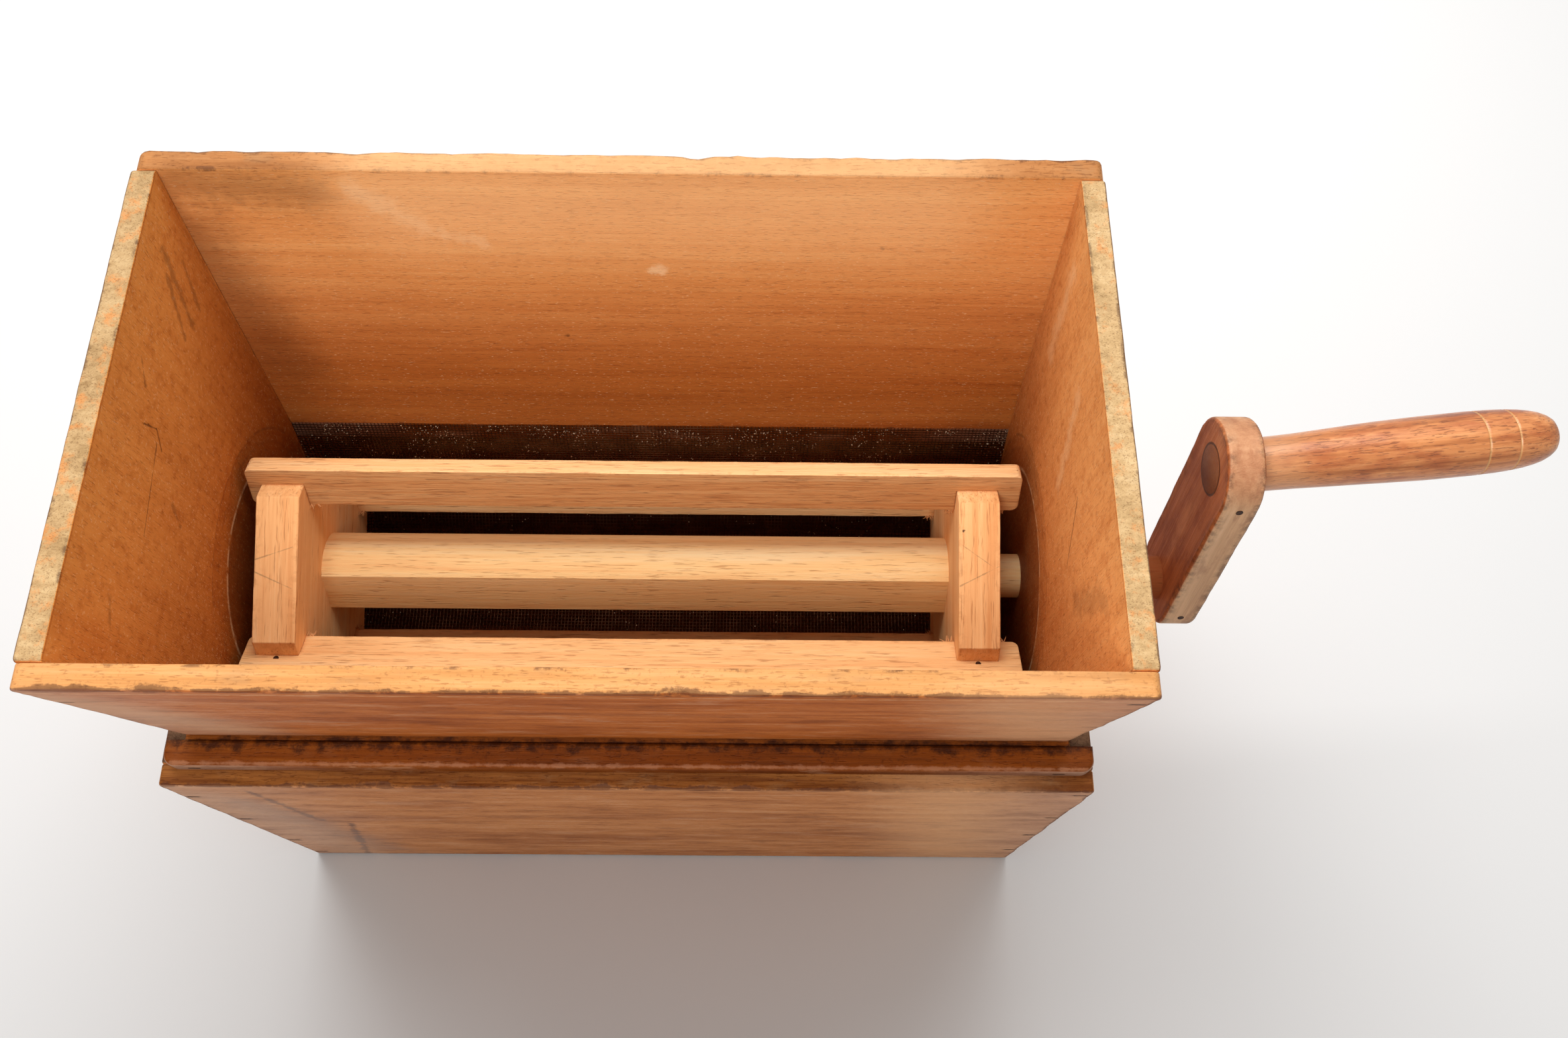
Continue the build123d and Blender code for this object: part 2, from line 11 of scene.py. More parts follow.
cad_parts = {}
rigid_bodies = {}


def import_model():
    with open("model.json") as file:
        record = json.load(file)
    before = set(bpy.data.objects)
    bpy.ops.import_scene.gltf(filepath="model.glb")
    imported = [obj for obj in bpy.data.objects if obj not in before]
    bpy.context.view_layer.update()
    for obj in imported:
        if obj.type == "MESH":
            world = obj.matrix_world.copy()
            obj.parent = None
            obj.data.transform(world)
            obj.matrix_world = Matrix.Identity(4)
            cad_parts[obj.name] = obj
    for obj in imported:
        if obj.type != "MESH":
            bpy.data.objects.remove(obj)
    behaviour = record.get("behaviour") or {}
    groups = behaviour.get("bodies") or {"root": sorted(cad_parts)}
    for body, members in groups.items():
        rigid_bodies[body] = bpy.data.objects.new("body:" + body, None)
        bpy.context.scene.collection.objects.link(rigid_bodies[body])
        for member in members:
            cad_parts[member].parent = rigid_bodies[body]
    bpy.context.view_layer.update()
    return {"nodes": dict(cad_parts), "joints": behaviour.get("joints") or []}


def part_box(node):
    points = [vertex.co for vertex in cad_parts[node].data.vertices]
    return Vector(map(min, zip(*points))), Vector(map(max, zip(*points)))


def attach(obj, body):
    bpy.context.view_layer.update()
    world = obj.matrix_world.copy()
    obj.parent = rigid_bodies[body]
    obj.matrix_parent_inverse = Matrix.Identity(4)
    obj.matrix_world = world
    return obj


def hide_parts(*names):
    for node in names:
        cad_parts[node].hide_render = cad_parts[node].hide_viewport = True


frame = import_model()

MM = 0.001

# ---- places read from the frame ----
REC_LOW, REC_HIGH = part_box("receiver_front_board")
REC_BACK_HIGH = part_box("receiver_back_board")[1]
END_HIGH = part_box("receiver_left_end")[1]
FRONT_LOW, FRONT_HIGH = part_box("hopper_front_board")
BACK_LOW, BACK_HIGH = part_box("hopper_back_board")
LEFT_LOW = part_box("hopper_left_end")[0]
PLATE_L_LOW, PLATE_L_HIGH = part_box("left_plate")
PLATE_R_LOW, PLATE_R_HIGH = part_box("right_plate")
PADDLE_LOW, PADDLE_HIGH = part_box("paddle_front_upper")
ARM_LOW, ARM_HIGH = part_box("crank_arm")
SCREEN_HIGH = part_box("screen")[1]
SPIN = next(j for j in frame["joints"] if j["name"] == "rotor_spin")
AXIS_Z = SPIN["pos_m"][2]

# ---- sizes that boxes can't give ----
BOARD = REC_HIGH.y - REC_LOW.y
PANEL = 7.5 * MM
SHAFT_HOLE = 8.58 * MM
WEAR_R = 55.2 * MM
WEAR_DEPTH = 0.3 * MM
SLOT_R = 10.5 * MM
SCREEN_R = AXIS_Z - LEFT_LOW.z
ROTOR_TILT = math.radians(25.5)
PADDLE_IN, PADDLE_OUT, PADDLE_T = 37.6 * MM, 54.2 * MM, 7.3 * MM
NOTCH_R = 47.1 * MM
PLATE_HALF, PLATE_FLAT = 40.4 * MM, 26.2 * MM
ARM_LEN, ARM_W = 72.9 * MM, 36.4 * MM
ARM_ANGLE = math.radians(78.6)
HANDLE_LEAN = (1.0, math.tan(math.radians(5.7)), math.tan(math.radians(2.4)))


# ============================== camera and light ==============================
CAMERA_PLACE = (0.04626, -0.16742, 0.62259)
CAMERA_TURN = (22.844, -0.598, 0.304)
CAMERA_LENS = 29.55
CAMERA_SHIFT = (0.0063, -0.0147)
KEY_POWER = 14.0
FILL_POWER = 3.4
SKY_STRENGTH = 0.37
FLOOR_HALF = 4.0


def make_camera():
    camera = bpy.data.objects.new("camera", bpy.data.cameras.new("camera"))
    bpy.context.scene.collection.objects.link(camera)
    camera.location = CAMERA_PLACE
    camera.rotation_euler = [math.radians(a) for a in CAMERA_TURN]
    camera.data.lens = CAMERA_LENS
    camera.data.sensor_width = 36.0
    camera.data.shift_x, camera.data.shift_y = CAMERA_SHIFT
    camera.data.clip_start = 0.01
    bpy.context.scene.camera = camera


def area_light(name, place, aim, size, power, colour):
    data = bpy.data.lights.new(name, "AREA")
    data.shape = "RECTANGLE"
    data.size, data.size_y = size
    data.energy = power
    data.color = colour
    light = bpy.data.objects.new(name, data)
    bpy.context.scene.collection.objects.link(light)
    light.location = place
    light.rotation_euler = (Vector(aim) - Vector(place)).to_track_quat("-Z", "Y").to_euler()
    return light


def make_studio():
    """Soft daylight from behind and a weak fill that reaches only the object."""
    scene = bpy.context.scene
    scene.view_settings.view_transform = "Standard"
    world = bpy.data.worlds.new("studio")
    scene.world = world
    world.use_nodes = True
    sky = world.node_tree.nodes["Background"].inputs
    sky["Color"].default_value = (1.0, 0.985, 0.965, 1.0)
    sky["Strength"].default_value = SKY_STRENGTH
    lit = bpy.data.collections.new("lit_by_fill")
    area_light("key", (-0.05, 0.56, 1.12), (0.0, 0.02, 0.12), (1.2, 0.7), KEY_POWER, (1.0, 0.995, 0.985))
    fill = area_light("fill", (-0.12, -0.42, 0.80), (0.0, 0.06, 0.20), (0.36, 0.26), FILL_POWER,
                      (1.0, 0.985, 0.96))
    fill.light_linking.receiver_collection = lit
    floor_data = bpy.data.meshes.new("floor")
    corners = [(x * FLOOR_HALF, y * FLOOR_HALF, 0) for x, y in ((-1, -1), (1, -1), (1, 1), (-1, 1))]
    floor_data.from_pydata(corners, [], [(0, 1, 2, 3)])
    floor = bpy.data.objects.new("floor", floor_data)
    floor.location.z = -0.2 * MM
    scene.collection.objects.link(floor)
    finish = Finish("paper", roughness=0.75)
    finish.colour((0.97, 0.97, 0.97, 1.0))
    floor.data.materials.append(finish.material)
    return lit, floor


# ================================ shader tools ================================
class Value:
    """A socket in a shader tree. Arithmetic on it adds Math nodes."""

    def __init__(self, finish, socket):
        self.finish, self.socket = finish, socket

    def __add__(self, other):
        return self.finish.math("ADD", self, other)

    def __sub__(self, other):
        return self.finish.math("SUBTRACT", self, other)

    def __rsub__(self, other):
        return self.finish.math("SUBTRACT", other, self)

    def __mul__(self, other):
        return self.finish.math("MULTIPLY", self, other)

    def __truediv__(self, other):
        return self.finish.math("DIVIDE", self, other)

    __radd__ = __add__
    __rmul__ = __mul__


class Finish:
    """One material: a Principled shader and the nodes that feed it."""

    def __init__(self, name, roughness=0.6, specular=0.4, coat=0.0, coat_roughness=0.2, metallic=0.0):
        self.material = bpy.data.materials.new(name)
        self.material.use_nodes = True
        self.tree = self.material.node_tree
        self.shader = self.tree.nodes["Principled BSDF"]
        self.shader.inputs["Roughness"].default_value = roughness
        self.shader.inputs["Specular IOR Level"].default_value = specular
        self.shader.inputs["Coat Weight"].default_value = coat
        self.shader.inputs["Coat Roughness"].default_value = coat_roughness
        self.shader.inputs["Metallic"].default_value = metallic

    def node(self, kind, settings=None, inputs=None, output=0):
        """Adds a node: its settings first, then the values or links of its sockets."""
        made = self.tree.nodes.new(kind)
        for key, value in (settings or {}).items():
            if key == "stops":
                self.set_stops(made.color_ramp, value)
            else:
                setattr(made, key, value)
        for key, value in (inputs or {}).items():
            if isinstance(value, Value):
                self.tree.links.new(value.socket, made.inputs[key])
            else:
                made.inputs[key].default_value = value
        return Value(self, made.outputs[output])

    def set_stops(self, ramp, stops):
        while len(ramp.elements) < len(stops):
            ramp.elements.new(1.0)
        for element, (place, colour) in zip(ramp.elements, stops):
            element.position = place
            element.color = colour

    def math(self, operation, a, b=0.0, clamp=False):
        settings = {"operation": operation, "use_clamp": clamp}
        return self.node("ShaderNodeMath", settings, {0: a, 1: b})

    def vector(self, operation, a, b=None, scale=None):
        inputs = {0: a}
        if b is not None:
            inputs[1] = b
        if scale is not None:
            inputs["Scale"] = scale
        output = "Value" if operation in ("DOT_PRODUCT", "LENGTH", "DISTANCE") else "Vector"
        return self.node("ShaderNodeVectorMath", {"operation": operation}, inputs, output)

    def mix(self, factor, a, b, blend="MIX"):
        settings = {"data_type": "RGBA", "blend_type": blend}
        return self.node("ShaderNodeMix", settings, {0: factor, 6: a, 7: b}, 2)

    def darken(self, amount, colour, tint):
        """Multiplies a colour by a tint, as far as amount says."""
        return self.mix(amount, colour, self.mix(1.0, colour, tint, "MULTIPLY"))

    def step(self, value, low, high):
        """0 below low, 1 above high, smooth between; low may be above high."""
        inputs = {"Value": value, "From Min": low, "From Max": high}
        return self.node("ShaderNodeMapRange", {"interpolation_type": "SMOOTHSTEP"}, inputs)

    def noise(self, place, detail=3.0, rough=0.55, distortion=0.0):
        inputs = {"Vector": place, "Scale": 1.0, "Detail": detail, "Roughness": rough,
                  "Distortion": distortion}
        return self.node("ShaderNodeTexNoise", None, inputs)

    def place(self):
        """Position in the row frame at rest, in millimetres."""
        return self.vector("SCALE", self.node("ShaderNodeTexCoord", None, None, "Object"), scale=1000.0)

    def facing(self, direction):
        normal = self.node("ShaderNodeTexCoord", None, None, "Normal")
        return self.vector("DOT_PRODUCT", normal, direction)

    def edge(self):
        """1 on worn edges, 0 on open faces, from the mesh's own attribute."""
        return self.node("ShaderNodeAttribute", {"attribute_name": "edge"}, None, "Fac")

    def near_line(self, place, start, end):
        """Distance in millimetres from the line between two points."""
        run = Vector(end) - Vector(start)
        reach = self.vector("SUBTRACT", place, start)
        along = self.vector("DOT_PRODUCT", reach, tuple(run))
        share = self.math("DIVIDE", along, max(run.length_squared, 0.01), clamp=True)
        return self.vector("DISTANCE", reach, self.vector("SCALE", tuple(run), scale=share))

    def marked(self, colour, place, marks, rough):
        """Draws marks (start, end, radius, strength, colour) with ragged edges."""
        for start, end, radius, strength, tint in marks:
            gap = self.near_line(place, start, end) + (rough - 0.5) * min(radius * 4.0, 16.0)
            mask = self.step(gap, radius, 0.0)
            colour = self.mix(mask * strength, colour, tint)
        return colour

    def stretched(self, place, axes, lengths, offset=0.0):
        """Coordinates along three axes, each divided by a feature length in millimetres."""
        parts = {k: self.vector("DOT_PRODUCT", place, axis) / length + offset
                 for k, (axis, length) in enumerate(zip(axes, lengths))}
        return self.node("ShaderNodeCombineXYZ", None, parts)

    def colour(self, value):
        self.feed("Base Color", value)

    def feed(self, name, value):
        if isinstance(value, Value):
            self.tree.links.new(value.socket, self.shader.inputs[name])
        else:
            self.shader.inputs[name].default_value = value

    def bump(self, height, depth, strength=1.0):
        inputs = {"Height": height, "Distance": depth, "Strength": strength}
        self.feed("Normal", self.node("ShaderNodeBump", None, inputs, "Normal"))


def rgb(red, green, blue):
    """A display colour, 0 to 255, as linear RGBA."""
    def linear(v):
        v = v / 255
        return v / 12.92 if v <= 0.04045 else ((v + 0.055) / 1.055) ** 2.4
    return (linear(red), linear(green), linear(blue), 1.0)


# =============================== wood finishes ===============================
GRAIN_X = ((1, 0, 0), (0, 0, 1), (0, 1, 0))
GRAIN_Z = ((0, 0, 1), (0, 1, 0), (1, 0, 0))

# dark, middle and light tone of each wood, then single colours
INNER = (rgb(206, 134, 72), rgb(232, 164, 98), rgb(244, 186, 120))
# the left end's inside gets darker tones than the right's: painted shade
SHADED_INNER_LEFT = (rgb(192, 120, 54), rgb(220, 148, 74), rgb(234, 170, 94))
LEFT_RIM = (rgb(146, 114, 74), rgb(177, 144, 101), rgb(198, 168, 124))
RIGHT_RIM = (rgb(160, 128, 86), rgb(192, 158, 112), rgb(212, 182, 137))
RAIL_WOOD = (rgb(88, 38, 5), rgb(122, 58, 8), rgb(150, 82, 22))
DIRT = rgb(150, 118, 84)
GREY_BLUE = rgb(84, 66, 66)
BLACKENED = rgb(46, 24, 16)


def grain_maps(f, place, axes, seed):
    """Broad bands, streaks, fibres and pores of planed wood, each about 0 to 1."""
    warp = f.noise(f.stretched(place, axes, (170, 45, 45), seed), 2.0)
    bands_at = f.stretched(place, axes, (420, 9, 14), seed + 3)
    sway = f.node("ShaderNodeCombineXYZ", None, {1: warp * 2.2})
    bands = f.noise(f.vector("ADD", bands_at, sway), 3.0, 0.6)
    streaks = f.noise(f.stretched(place, axes, (70, 1.7, 2.4), seed + 11), 3.0, 0.6)
    fibres = f.noise(f.stretched(place, axes, (14, 0.32, 0.5), seed + 23), 2.0, 0.6)
    pores = f.noise(f.stretched(place, axes, (3.2, 0.36, 0.5), seed + 37), 1.0, 0.5)
    return bands, streaks, fibres, pores


def wood_colour(f, maps, dark, mid, light, calm=0.16):
    """Blends three tones by the grain; the calmer the wood, the less its grain shows."""
    bands, streaks, fibres, _ = maps
    tone = bands * 0.48 + streaks * 0.34 + fibres * 0.18
    stops = [(0.5 - calm, dark), (0.5, mid), (0.5 + calm, light)]
    return f.node("ShaderNodeValToRGB", {"stops": stops}, {"Fac": tone}, "Color")


def case_finish(name, axes, inward, seed, outer, inner, rim, span, marks=(), ring=None, glow=None,
                dirt=DIRT):
    """Aged box wood: one tone outside, another inside, a third on the upward rim.

    outer, inner and rim are (dark, mid, light) tones, inward is the direction of the inside,
    span the top and bottom heights of the inside's painted shade, darker towards the bottom,
    dirt the colour of the rim's patches, ring the radius of a wear mark and glow a warmer wood
    that shows through on the rim.
    """
    f = Finish(name, roughness=0.58, specular=0.12)
    place = f.place()
    maps = grain_maps(f, place, axes, seed)
    height = f.vector("DOT_PRODUCT", place, (0, 0, 1))
    across = f.vector("DOT_PRODUCT", place, axes[0] if axes is GRAIN_X else (0, 1, 0))
    blot = f.noise(f.stretched(place, axes, (60, 24, 24), seed + 50), 4.0, 0.6)
    knocks = f.noise(f.vector("SCALE", place, scale=0.16), 5.0, 0.7)
    outside = wood_colour(f, maps, *outer, 0.2)
    worn = f.step(f.math("ABSOLUTE", across) + (blot - 0.5) * 90, 85, 175)
    outside = f.mix(worn * 0.8, outside, f.mix(0.6, outside, rgb(206, 172, 148)))
    outside = f.darken(f.step(blot, 0.45, 0.68) * 0.45, outside, rgb(186, 158, 146))
    haze = f.noise(f.stretched(place, axes, (26, 9, 9), seed + 57), 5.0, 0.7)
    outside = f.darken(f.step(haze, 0.50, 0.66) * 0.45, outside, rgb(166, 146, 140))
    outside = f.mix(f.step(haze, 0.48, 0.34) * 0.25, outside, rgb(214, 166, 128))
    inside = wood_colour(f, maps, *inner, 0.22 if axes is GRAIN_X else 0.34)
    # painted shade: the inside darkens towards the bottom, from the first height in span down to the
    # second
    depth = f.step(height + (blot - 0.5) * 30, *span)
    inside = f.darken(depth, inside, rgb(196, 164, 128))
    cloud = f.step(blot, 0.5, 0.72)
    inside = f.darken(cloud * 0.3, inside, rgb(214, 176, 136))
    flecks = f.step(f.noise(f.stretched(place, axes, (1.6, 0.5, 0.7), seed + 91), 1.0), 0.66, 0.74)
    inside = f.mix(flecks * 0.45, inside, rgb(238, 205, 160))
    if axes is GRAIN_Z:
        mottle = f.noise(f.vector("SCALE", place, scale=0.22), 5.0, 0.7)
        inside = f.darken(f.step(mottle, 0.48, 0.66) * 0.4, inside, rgb(206, 170, 130))
        dust = f.step(f.noise(f.vector("SCALE", place, scale=0.9), 2.0, 0.6), 0.60, 0.70)
        inside = f.mix(dust * 0.3, inside, rgb(240, 206, 156))
    if ring:
        spoke = f.vector("MULTIPLY", f.vector("SUBTRACT", place, (0, 0, AXIS_Z / MM)), (0, 1, 1))
        radius = f.vector("LENGTH", spoke)
        turning = f.node("ShaderNodeCombineXYZ", None, {0: radius * 0.9, 1: height * 0.02})
        turns = f.noise(turning, 3.0, 0.7)
        outer_wear = f.step(radius + (knocks - 0.5) * 3.0, ring, ring - 2.0)
        inside = f.darken(outer_wear * (turns * 0.35), inside, rgb(188, 150, 112))
        inner_wear = f.step(radius + (knocks - 0.5) * 2.0, 42.0, 40.0)
        inside = f.darken(inner_wear * (0.35 + turns * 0.4), inside, rgb(168, 128, 92))
        for line, strength, tint in ((ring, 0.4, rgb(104, 58, 28)), (50.0, 0.3, rgb(120, 70, 36)),
                                     (42.3, 0.5, rgb(244, 214, 170)), (41.2, 0.5, rgb(96, 52, 26))):
            near = f.step(f.math("ABSOLUTE", radius - line + (blot - 0.5) * 1.6), 1.0, 0.2)
            inside = f.mix(near * f.step(knocks, 0.40, 0.56) * strength, inside, tint)
    rim_wood = wood_colour(f, maps, *rim)
    patches = f.noise(f.stretched(place, axes, (16, 7, 7), seed + 61), 4.0, 0.65)
    rim_wood = f.mix(f.step(patches, 0.52, 0.76) * 0.3, rim_wood, dirt)
    if glow:
        rim_wood = f.mix(f.step(knocks, 0.49, 0.33) * 0.6, rim_wood, glow)
    grey = f.step(f.noise(f.vector("SCALE", place, scale=0.7), 3.0, 0.6), 0.56, 0.72)
    rim_wood = f.darken(grey * 0.35, rim_wood, rgb(160, 140, 128))
    into = f.step(f.facing(inward), -0.2, 0.3)
    upward = f.step(f.facing((0, 0, 1)) + (patches - 0.5) * 0.35, 0.5, 0.8)
    colour = f.mix(into, outside, inside)
    colour = f.mix(upward, colour, rim_wood)
    edge = f.edge()
    outward = f.step(f.facing(inward), -0.1, -0.5) * edge
    grime = f.step(knocks + outward * 0.16, 0.52, 0.66) * f.step(edge, 0.3, 0.95)
    colour = f.mix(grime * 0.62, colour, rgb(74, 40, 30))
    pores = f.step(maps[3], 0.60, 0.74)
    colour = f.darken(pores * 0.35, colour, rgb(160, 112, 84))
    colour = f.marked(colour, place, marks, knocks)
    f.colour(colour)
    f.feed("Roughness", 0.58 - maps[1] * 0.12 + blot * 0.14)
    f.bump(maps[2] * 0.6 + maps[1] * 0.6 - pores * 0.8 + knocks * edge * 2.0, 0.35 * MM, 0.55)
    return f


def fresh_finish(name, axes, seed, tones, marks=(), rough=0.35, sawn_and_shade=None, soiled=None):
    """Bare wood of the rotor. sawn is the direction of the smooth edge and how dark the faces are, by saw
    marks and, where that value is high, by painted shade.

    soiled is the x from which the wood is dark with handling, and its colour there.
    """
    f = Finish(name, roughness=0.7, specular=0.25)
    place = f.place()
    maps = grain_maps(f, place, axes, seed)
    colour = wood_colour(f, maps, *tones)
    furrows = f.step(f.noise(f.stretched(place, axes, (9, 0.55, 0.8), seed + 70), 2.0), 0.58, 0.74)
    colour = f.darken(furrows * 0.4, colour, rgb(176, 122, 84))
    edge = f.edge()
    knocks = f.noise(f.vector("SCALE", place, scale=0.25), 4.0, 0.7)
    colour = f.darken(f.step(knocks, 0.5, 0.62) * edge * 0.22, colour, rgb(190, 140, 100))
    # faces turned away from the smooth edge get darker: saw marks, and painted shade where the second
    # value is high
    if sawn_and_shade:
        faces = f.step(f.math("ABSOLUTE", f.facing(tuple(sawn_and_shade[0]))), 0.7, 0.4)
        ridges = f.noise(f.stretched(place, axes, (22, 0.5, 0.5), seed + 83), 3.0, 0.65)
        shade = f.mix(1.0, colour, rgb(206, 196, 186), "MULTIPLY")
        shade = f.darken(f.step(ridges, 0.48, 0.62) * 0.5, shade, rgb(206, 180, 160))
        colour = f.mix(faces * sawn_and_shade[1], colour, shade)
    if soiled:
        reach = f.vector("DOT_PRODUCT", place, (1, 0, 0))
        shade = f.mix(1.0, wood_colour(f, maps, *tones), soiled[1], "MULTIPLY")
        colour = f.mix(f.step(reach, soiled[0] - 1.0, soiled[0] + 1.0), colour, shade)
    colour = f.marked(colour, place, marks, knocks)
    f.colour(colour)
    f.feed("Roughness", 0.62 + maps[1] * 0.14)
    f.bump(maps[2] * 0.7 + maps[1] * 0.7 - furrows * 1.2, rough * MM, 0.6)
    return f


def iron_finish():
    f = Finish("dark_iron", roughness=0.6, metallic=0.6)
    rust = f.noise(f.vector("SCALE", f.place(), scale=0.9), 4.0)
    f.colour(f.mix(f.step(rust, 0.4, 0.65), rgb(58, 46, 40), rgb(92, 58, 40)))
    f.bump(rust, 0.2 * MM, 0.5)
    return f


# ================================ mesh builders ================================
def add_piece(name, body, bm, finish, stands_for=()):
    data = bpy.data.meshes.new(name)
    bm.to_mesh(data)
    bm.free()
    piece = bpy.data.objects.new(name, data)
    bpy.context.scene.collection.objects.link(piece)
    data.materials.append(finish.material)
    data.shade_smooth()
    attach(piece, body)
    if stands_for:
        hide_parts(*stands_for)
    return piece


def inward_normal(start, end):
    run = (end - start).normalized()
    return Vector((-run.y, run.x))


def outline_stations(corners, radii, pitch, arc_steps):
    """Points round an outline, each a function of how far it is moved into the shape."""
    corners = [Vector(c) for c in corners]
    count = len(corners)

    def bend(i, share):
        here = corners[i]
        n1 = inward_normal(corners[i - 1], here)
        n2 = inward_normal(here, corners[(i + 1) % count])
        miter = (n1 + n2) / (1 + n1.dot(n2))
        turn = math.atan2(n1.cross(n2), n1.dot(n2))
        c, s = math.cos(turn * share), math.sin(turn * share)
        n = Vector((n1.x * c - n1.y * s, n1.x * s + n1.y * c))
        radius = radii[i]

        def at(inset):
            if turn >= 0:
                return here + miter * max(radius, inset) - n * max(radius - inset, 0.0)
            return here - miter * radius + n * (radius + inset)
        return at

    def between(start, end, share):
        return lambda inset: start(inset).lerp(end(inset), share)

    stations = []
    for i in range(count):
        steps = arc_steps[i] if radii[i] > 0 else 0
        for k in range(steps + 1):
            stations.append(bend(i, k / max(steps, 1)))
        start, end = bend(i, 1.0), bend((i + 1) % count, 0.0)
        parts = max(1, round((end(0) - start(0)).length / pitch))
        stations += [between(start, end, k / parts) for k in range(1, parts)]
    return stations


def slab(name, body, corners, place, depth, finish, *, radii, soft, stands_for=(),
         wear=0.35, pitch=4 * MM, steps=3, arc_steps=None, fade=(0.7 * MM, 5 * MM), seed=0,
         wobble=0.0, chips=(), hole=None, recess=None):
    """A board: an outline in (u, v), given depth, with worn and uneven rounded edges.

    soft is the edge radius on the near and far face. chips are (u, v, reach, extra radius)
    spots of the near face's edge. hole is (u, v, radius), and recess (radius, depth) sinks the far face.
    fade is how far in from the edges the wear ends, wobble how much the outline draws in unevenly.
    """
    arc_steps = arc_steps or [4] * len(corners)
    stations = outline_stations(corners, radii, pitch, arc_steps)
    bm = bmesh.new()
    edge_layer = bm.verts.layers.float.new("edge")
    rings = []

    def edge_radius(u, v, side):
        base = soft[side]
        n = noise.noise(Vector((u * 90, v * 90, seed + side * 7.7)))
        m = noise.noise(Vector((u * 420, v * 420, seed + 31 + side * 7.7)))
        radius = base * (1 + wear * (n + 0.5 * m))
        if side == 0:
            for cu, cv, reach, extra in chips:
                gap = math.hypot(u - cu, v - cv) / reach
                radius += extra * max(0.0, 1 - gap * gap) ** 2
        return min(max(radius, 0.05 * MM), 0.48 * depth)

    flat = [s(0.0) for s in stations]
    drift = [wobble * noise.noise(Vector((p.x * 25, p.y * 25, seed + 5.5))) for p in flat]
    radius_of = [[edge_radius(p.x, p.y, side) for p in flat] for side in (0, 1)]

    def add_ring(insets, heights, edge, uneven=1.0):
        ring = []
        for station, inset, height, lean in zip(stations, insets, heights, drift):
            point = station(inset + abs(lean) * uneven)
            vert = bm.verts.new(place(point.x, point.y, height))
            vert[edge_layer] = edge
            ring.append(vert)
        rings.append(ring)
        return ring

    def rounding(side, order):
        for k in order:
            turn = math.pi / 2 * k / steps
            insets = [r * (1 - math.cos(turn)) for r in radius_of[side]]
            rise = [r * (1 - math.sin(turn)) for r in radius_of[side]]
            heights = rise if side == 0 else [depth - h for h in rise]
            add_ring(insets, heights, 1.0)

    near = [0.0] * len(stations)
    far = [depth] * len(stations)
    inmost = [[max(radius_of[side]) + fade[1]] * len(stations) for side in (0, 1)]
    add_ring(inmost[0], near, 0.0, 0.0)
    add_ring([r + fade[0] for r in radius_of[0]], near, 0.5)
    rounding(0, range(steps, -1, -1))
    flush = [0.0] * len(stations)
    for share, edge in ((0.12, 0.4), (0.3, 0.0)):
        add_ring(flush, [r + share * (depth - r - q) for r, q in zip(*radius_of)], edge)
    for share, edge in ((0.3, 0.0), (0.12, 0.4)):
        add_ring(flush, [depth - q - share * (depth - r - q) for r, q in zip(*radius_of)], edge)
    rounding(1, range(0, steps + 1))
    add_ring([r + fade[0] for r in radius_of[1]], far, 0.5)
    add_ring(inmost[1], far, 0.0, 0.0)
    for low, high in zip(rings, rings[1:]):
        for i in range(len(low)):
            j = (i + 1) % len(low)
            bm.faces.new((low[i], low[j], high[j], high[i]))
    if hole:
        bore_cap(bm, rings[0], rings[-1], place, depth, hole, recess)
    else:
        bm.faces.new(list(reversed(rings[0])))
        bm.faces.new(rings[-1])
    bmesh.ops.remove_doubles(bm, verts=bm.verts, dist=0.002 * MM)
    bmesh.ops.recalc_face_normals(bm, faces=bm.faces)
    piece = add_piece(name, body, bm, finish, stands_for)
    weighted = piece.modifiers.new("flat_faces", "WEIGHTED_NORMAL")
    weighted.weight = 80
    return piece


def bore_cap(bm, near_ring, far_ring, place, depth, hole, recess, parts=96):
    """Closes a slab around a round hole, with an optional sunk disc on its far face."""
    def circle(radius, height):
        verts = []
        for k in range(parts):
            turn = math.tau * k / parts
            u, v = hole[0] + radius * math.cos(turn), hole[1] + radius * math.sin(turn)
            verts.append(bm.verts.new(place(u, v, height)))
        return verts

    def fill(ring, round_hole):
        loops = [[v.co for v in ring], [v.co for v in round_hole]]
        verts = ring + round_hole
        for tri in tessellate_polygon(loops):
            corner = [verts[i] for i in tri]
            if len(set(corner)) == 3:
                bm.faces.new(corner)

    def band(a, b):
        for i in range(parts):
            j = (i + 1) % parts
            bm.faces.new((a[i], a[j], b[j], b[i]))

    near = circle(hole[2], 0.0)
    fill(near_ring, near)
    radius, sunk = recess
    circles = [circle(radius, depth), circle(radius - sunk, depth - sunk)]
    circles += [circle(radius * share, depth - sunk) for share in (0.75, 0.4)]
    circles.append(circle(hole[2], depth - sunk))
    fill(far_ring, circles[0])
    for a, b in zip(circles, circles[1:]):
        band(a, b)
    band(circles[-1], near)


# ================================== the case ==================================
def nail_stains(places, y, side_x):
    """Dark spots round the nails: places are heights for the left and the right end."""
    stains = []
    for side, heights in zip((-1, 1), places):
        for z in heights:
            face = y(z) if callable(y) else y
            ends = [(side * side_x + reach, face, z) for reach in (-2.0, 2.0)]
            stains.append((*ends, 1.5, 0.8, BLACKENED))
    return stains


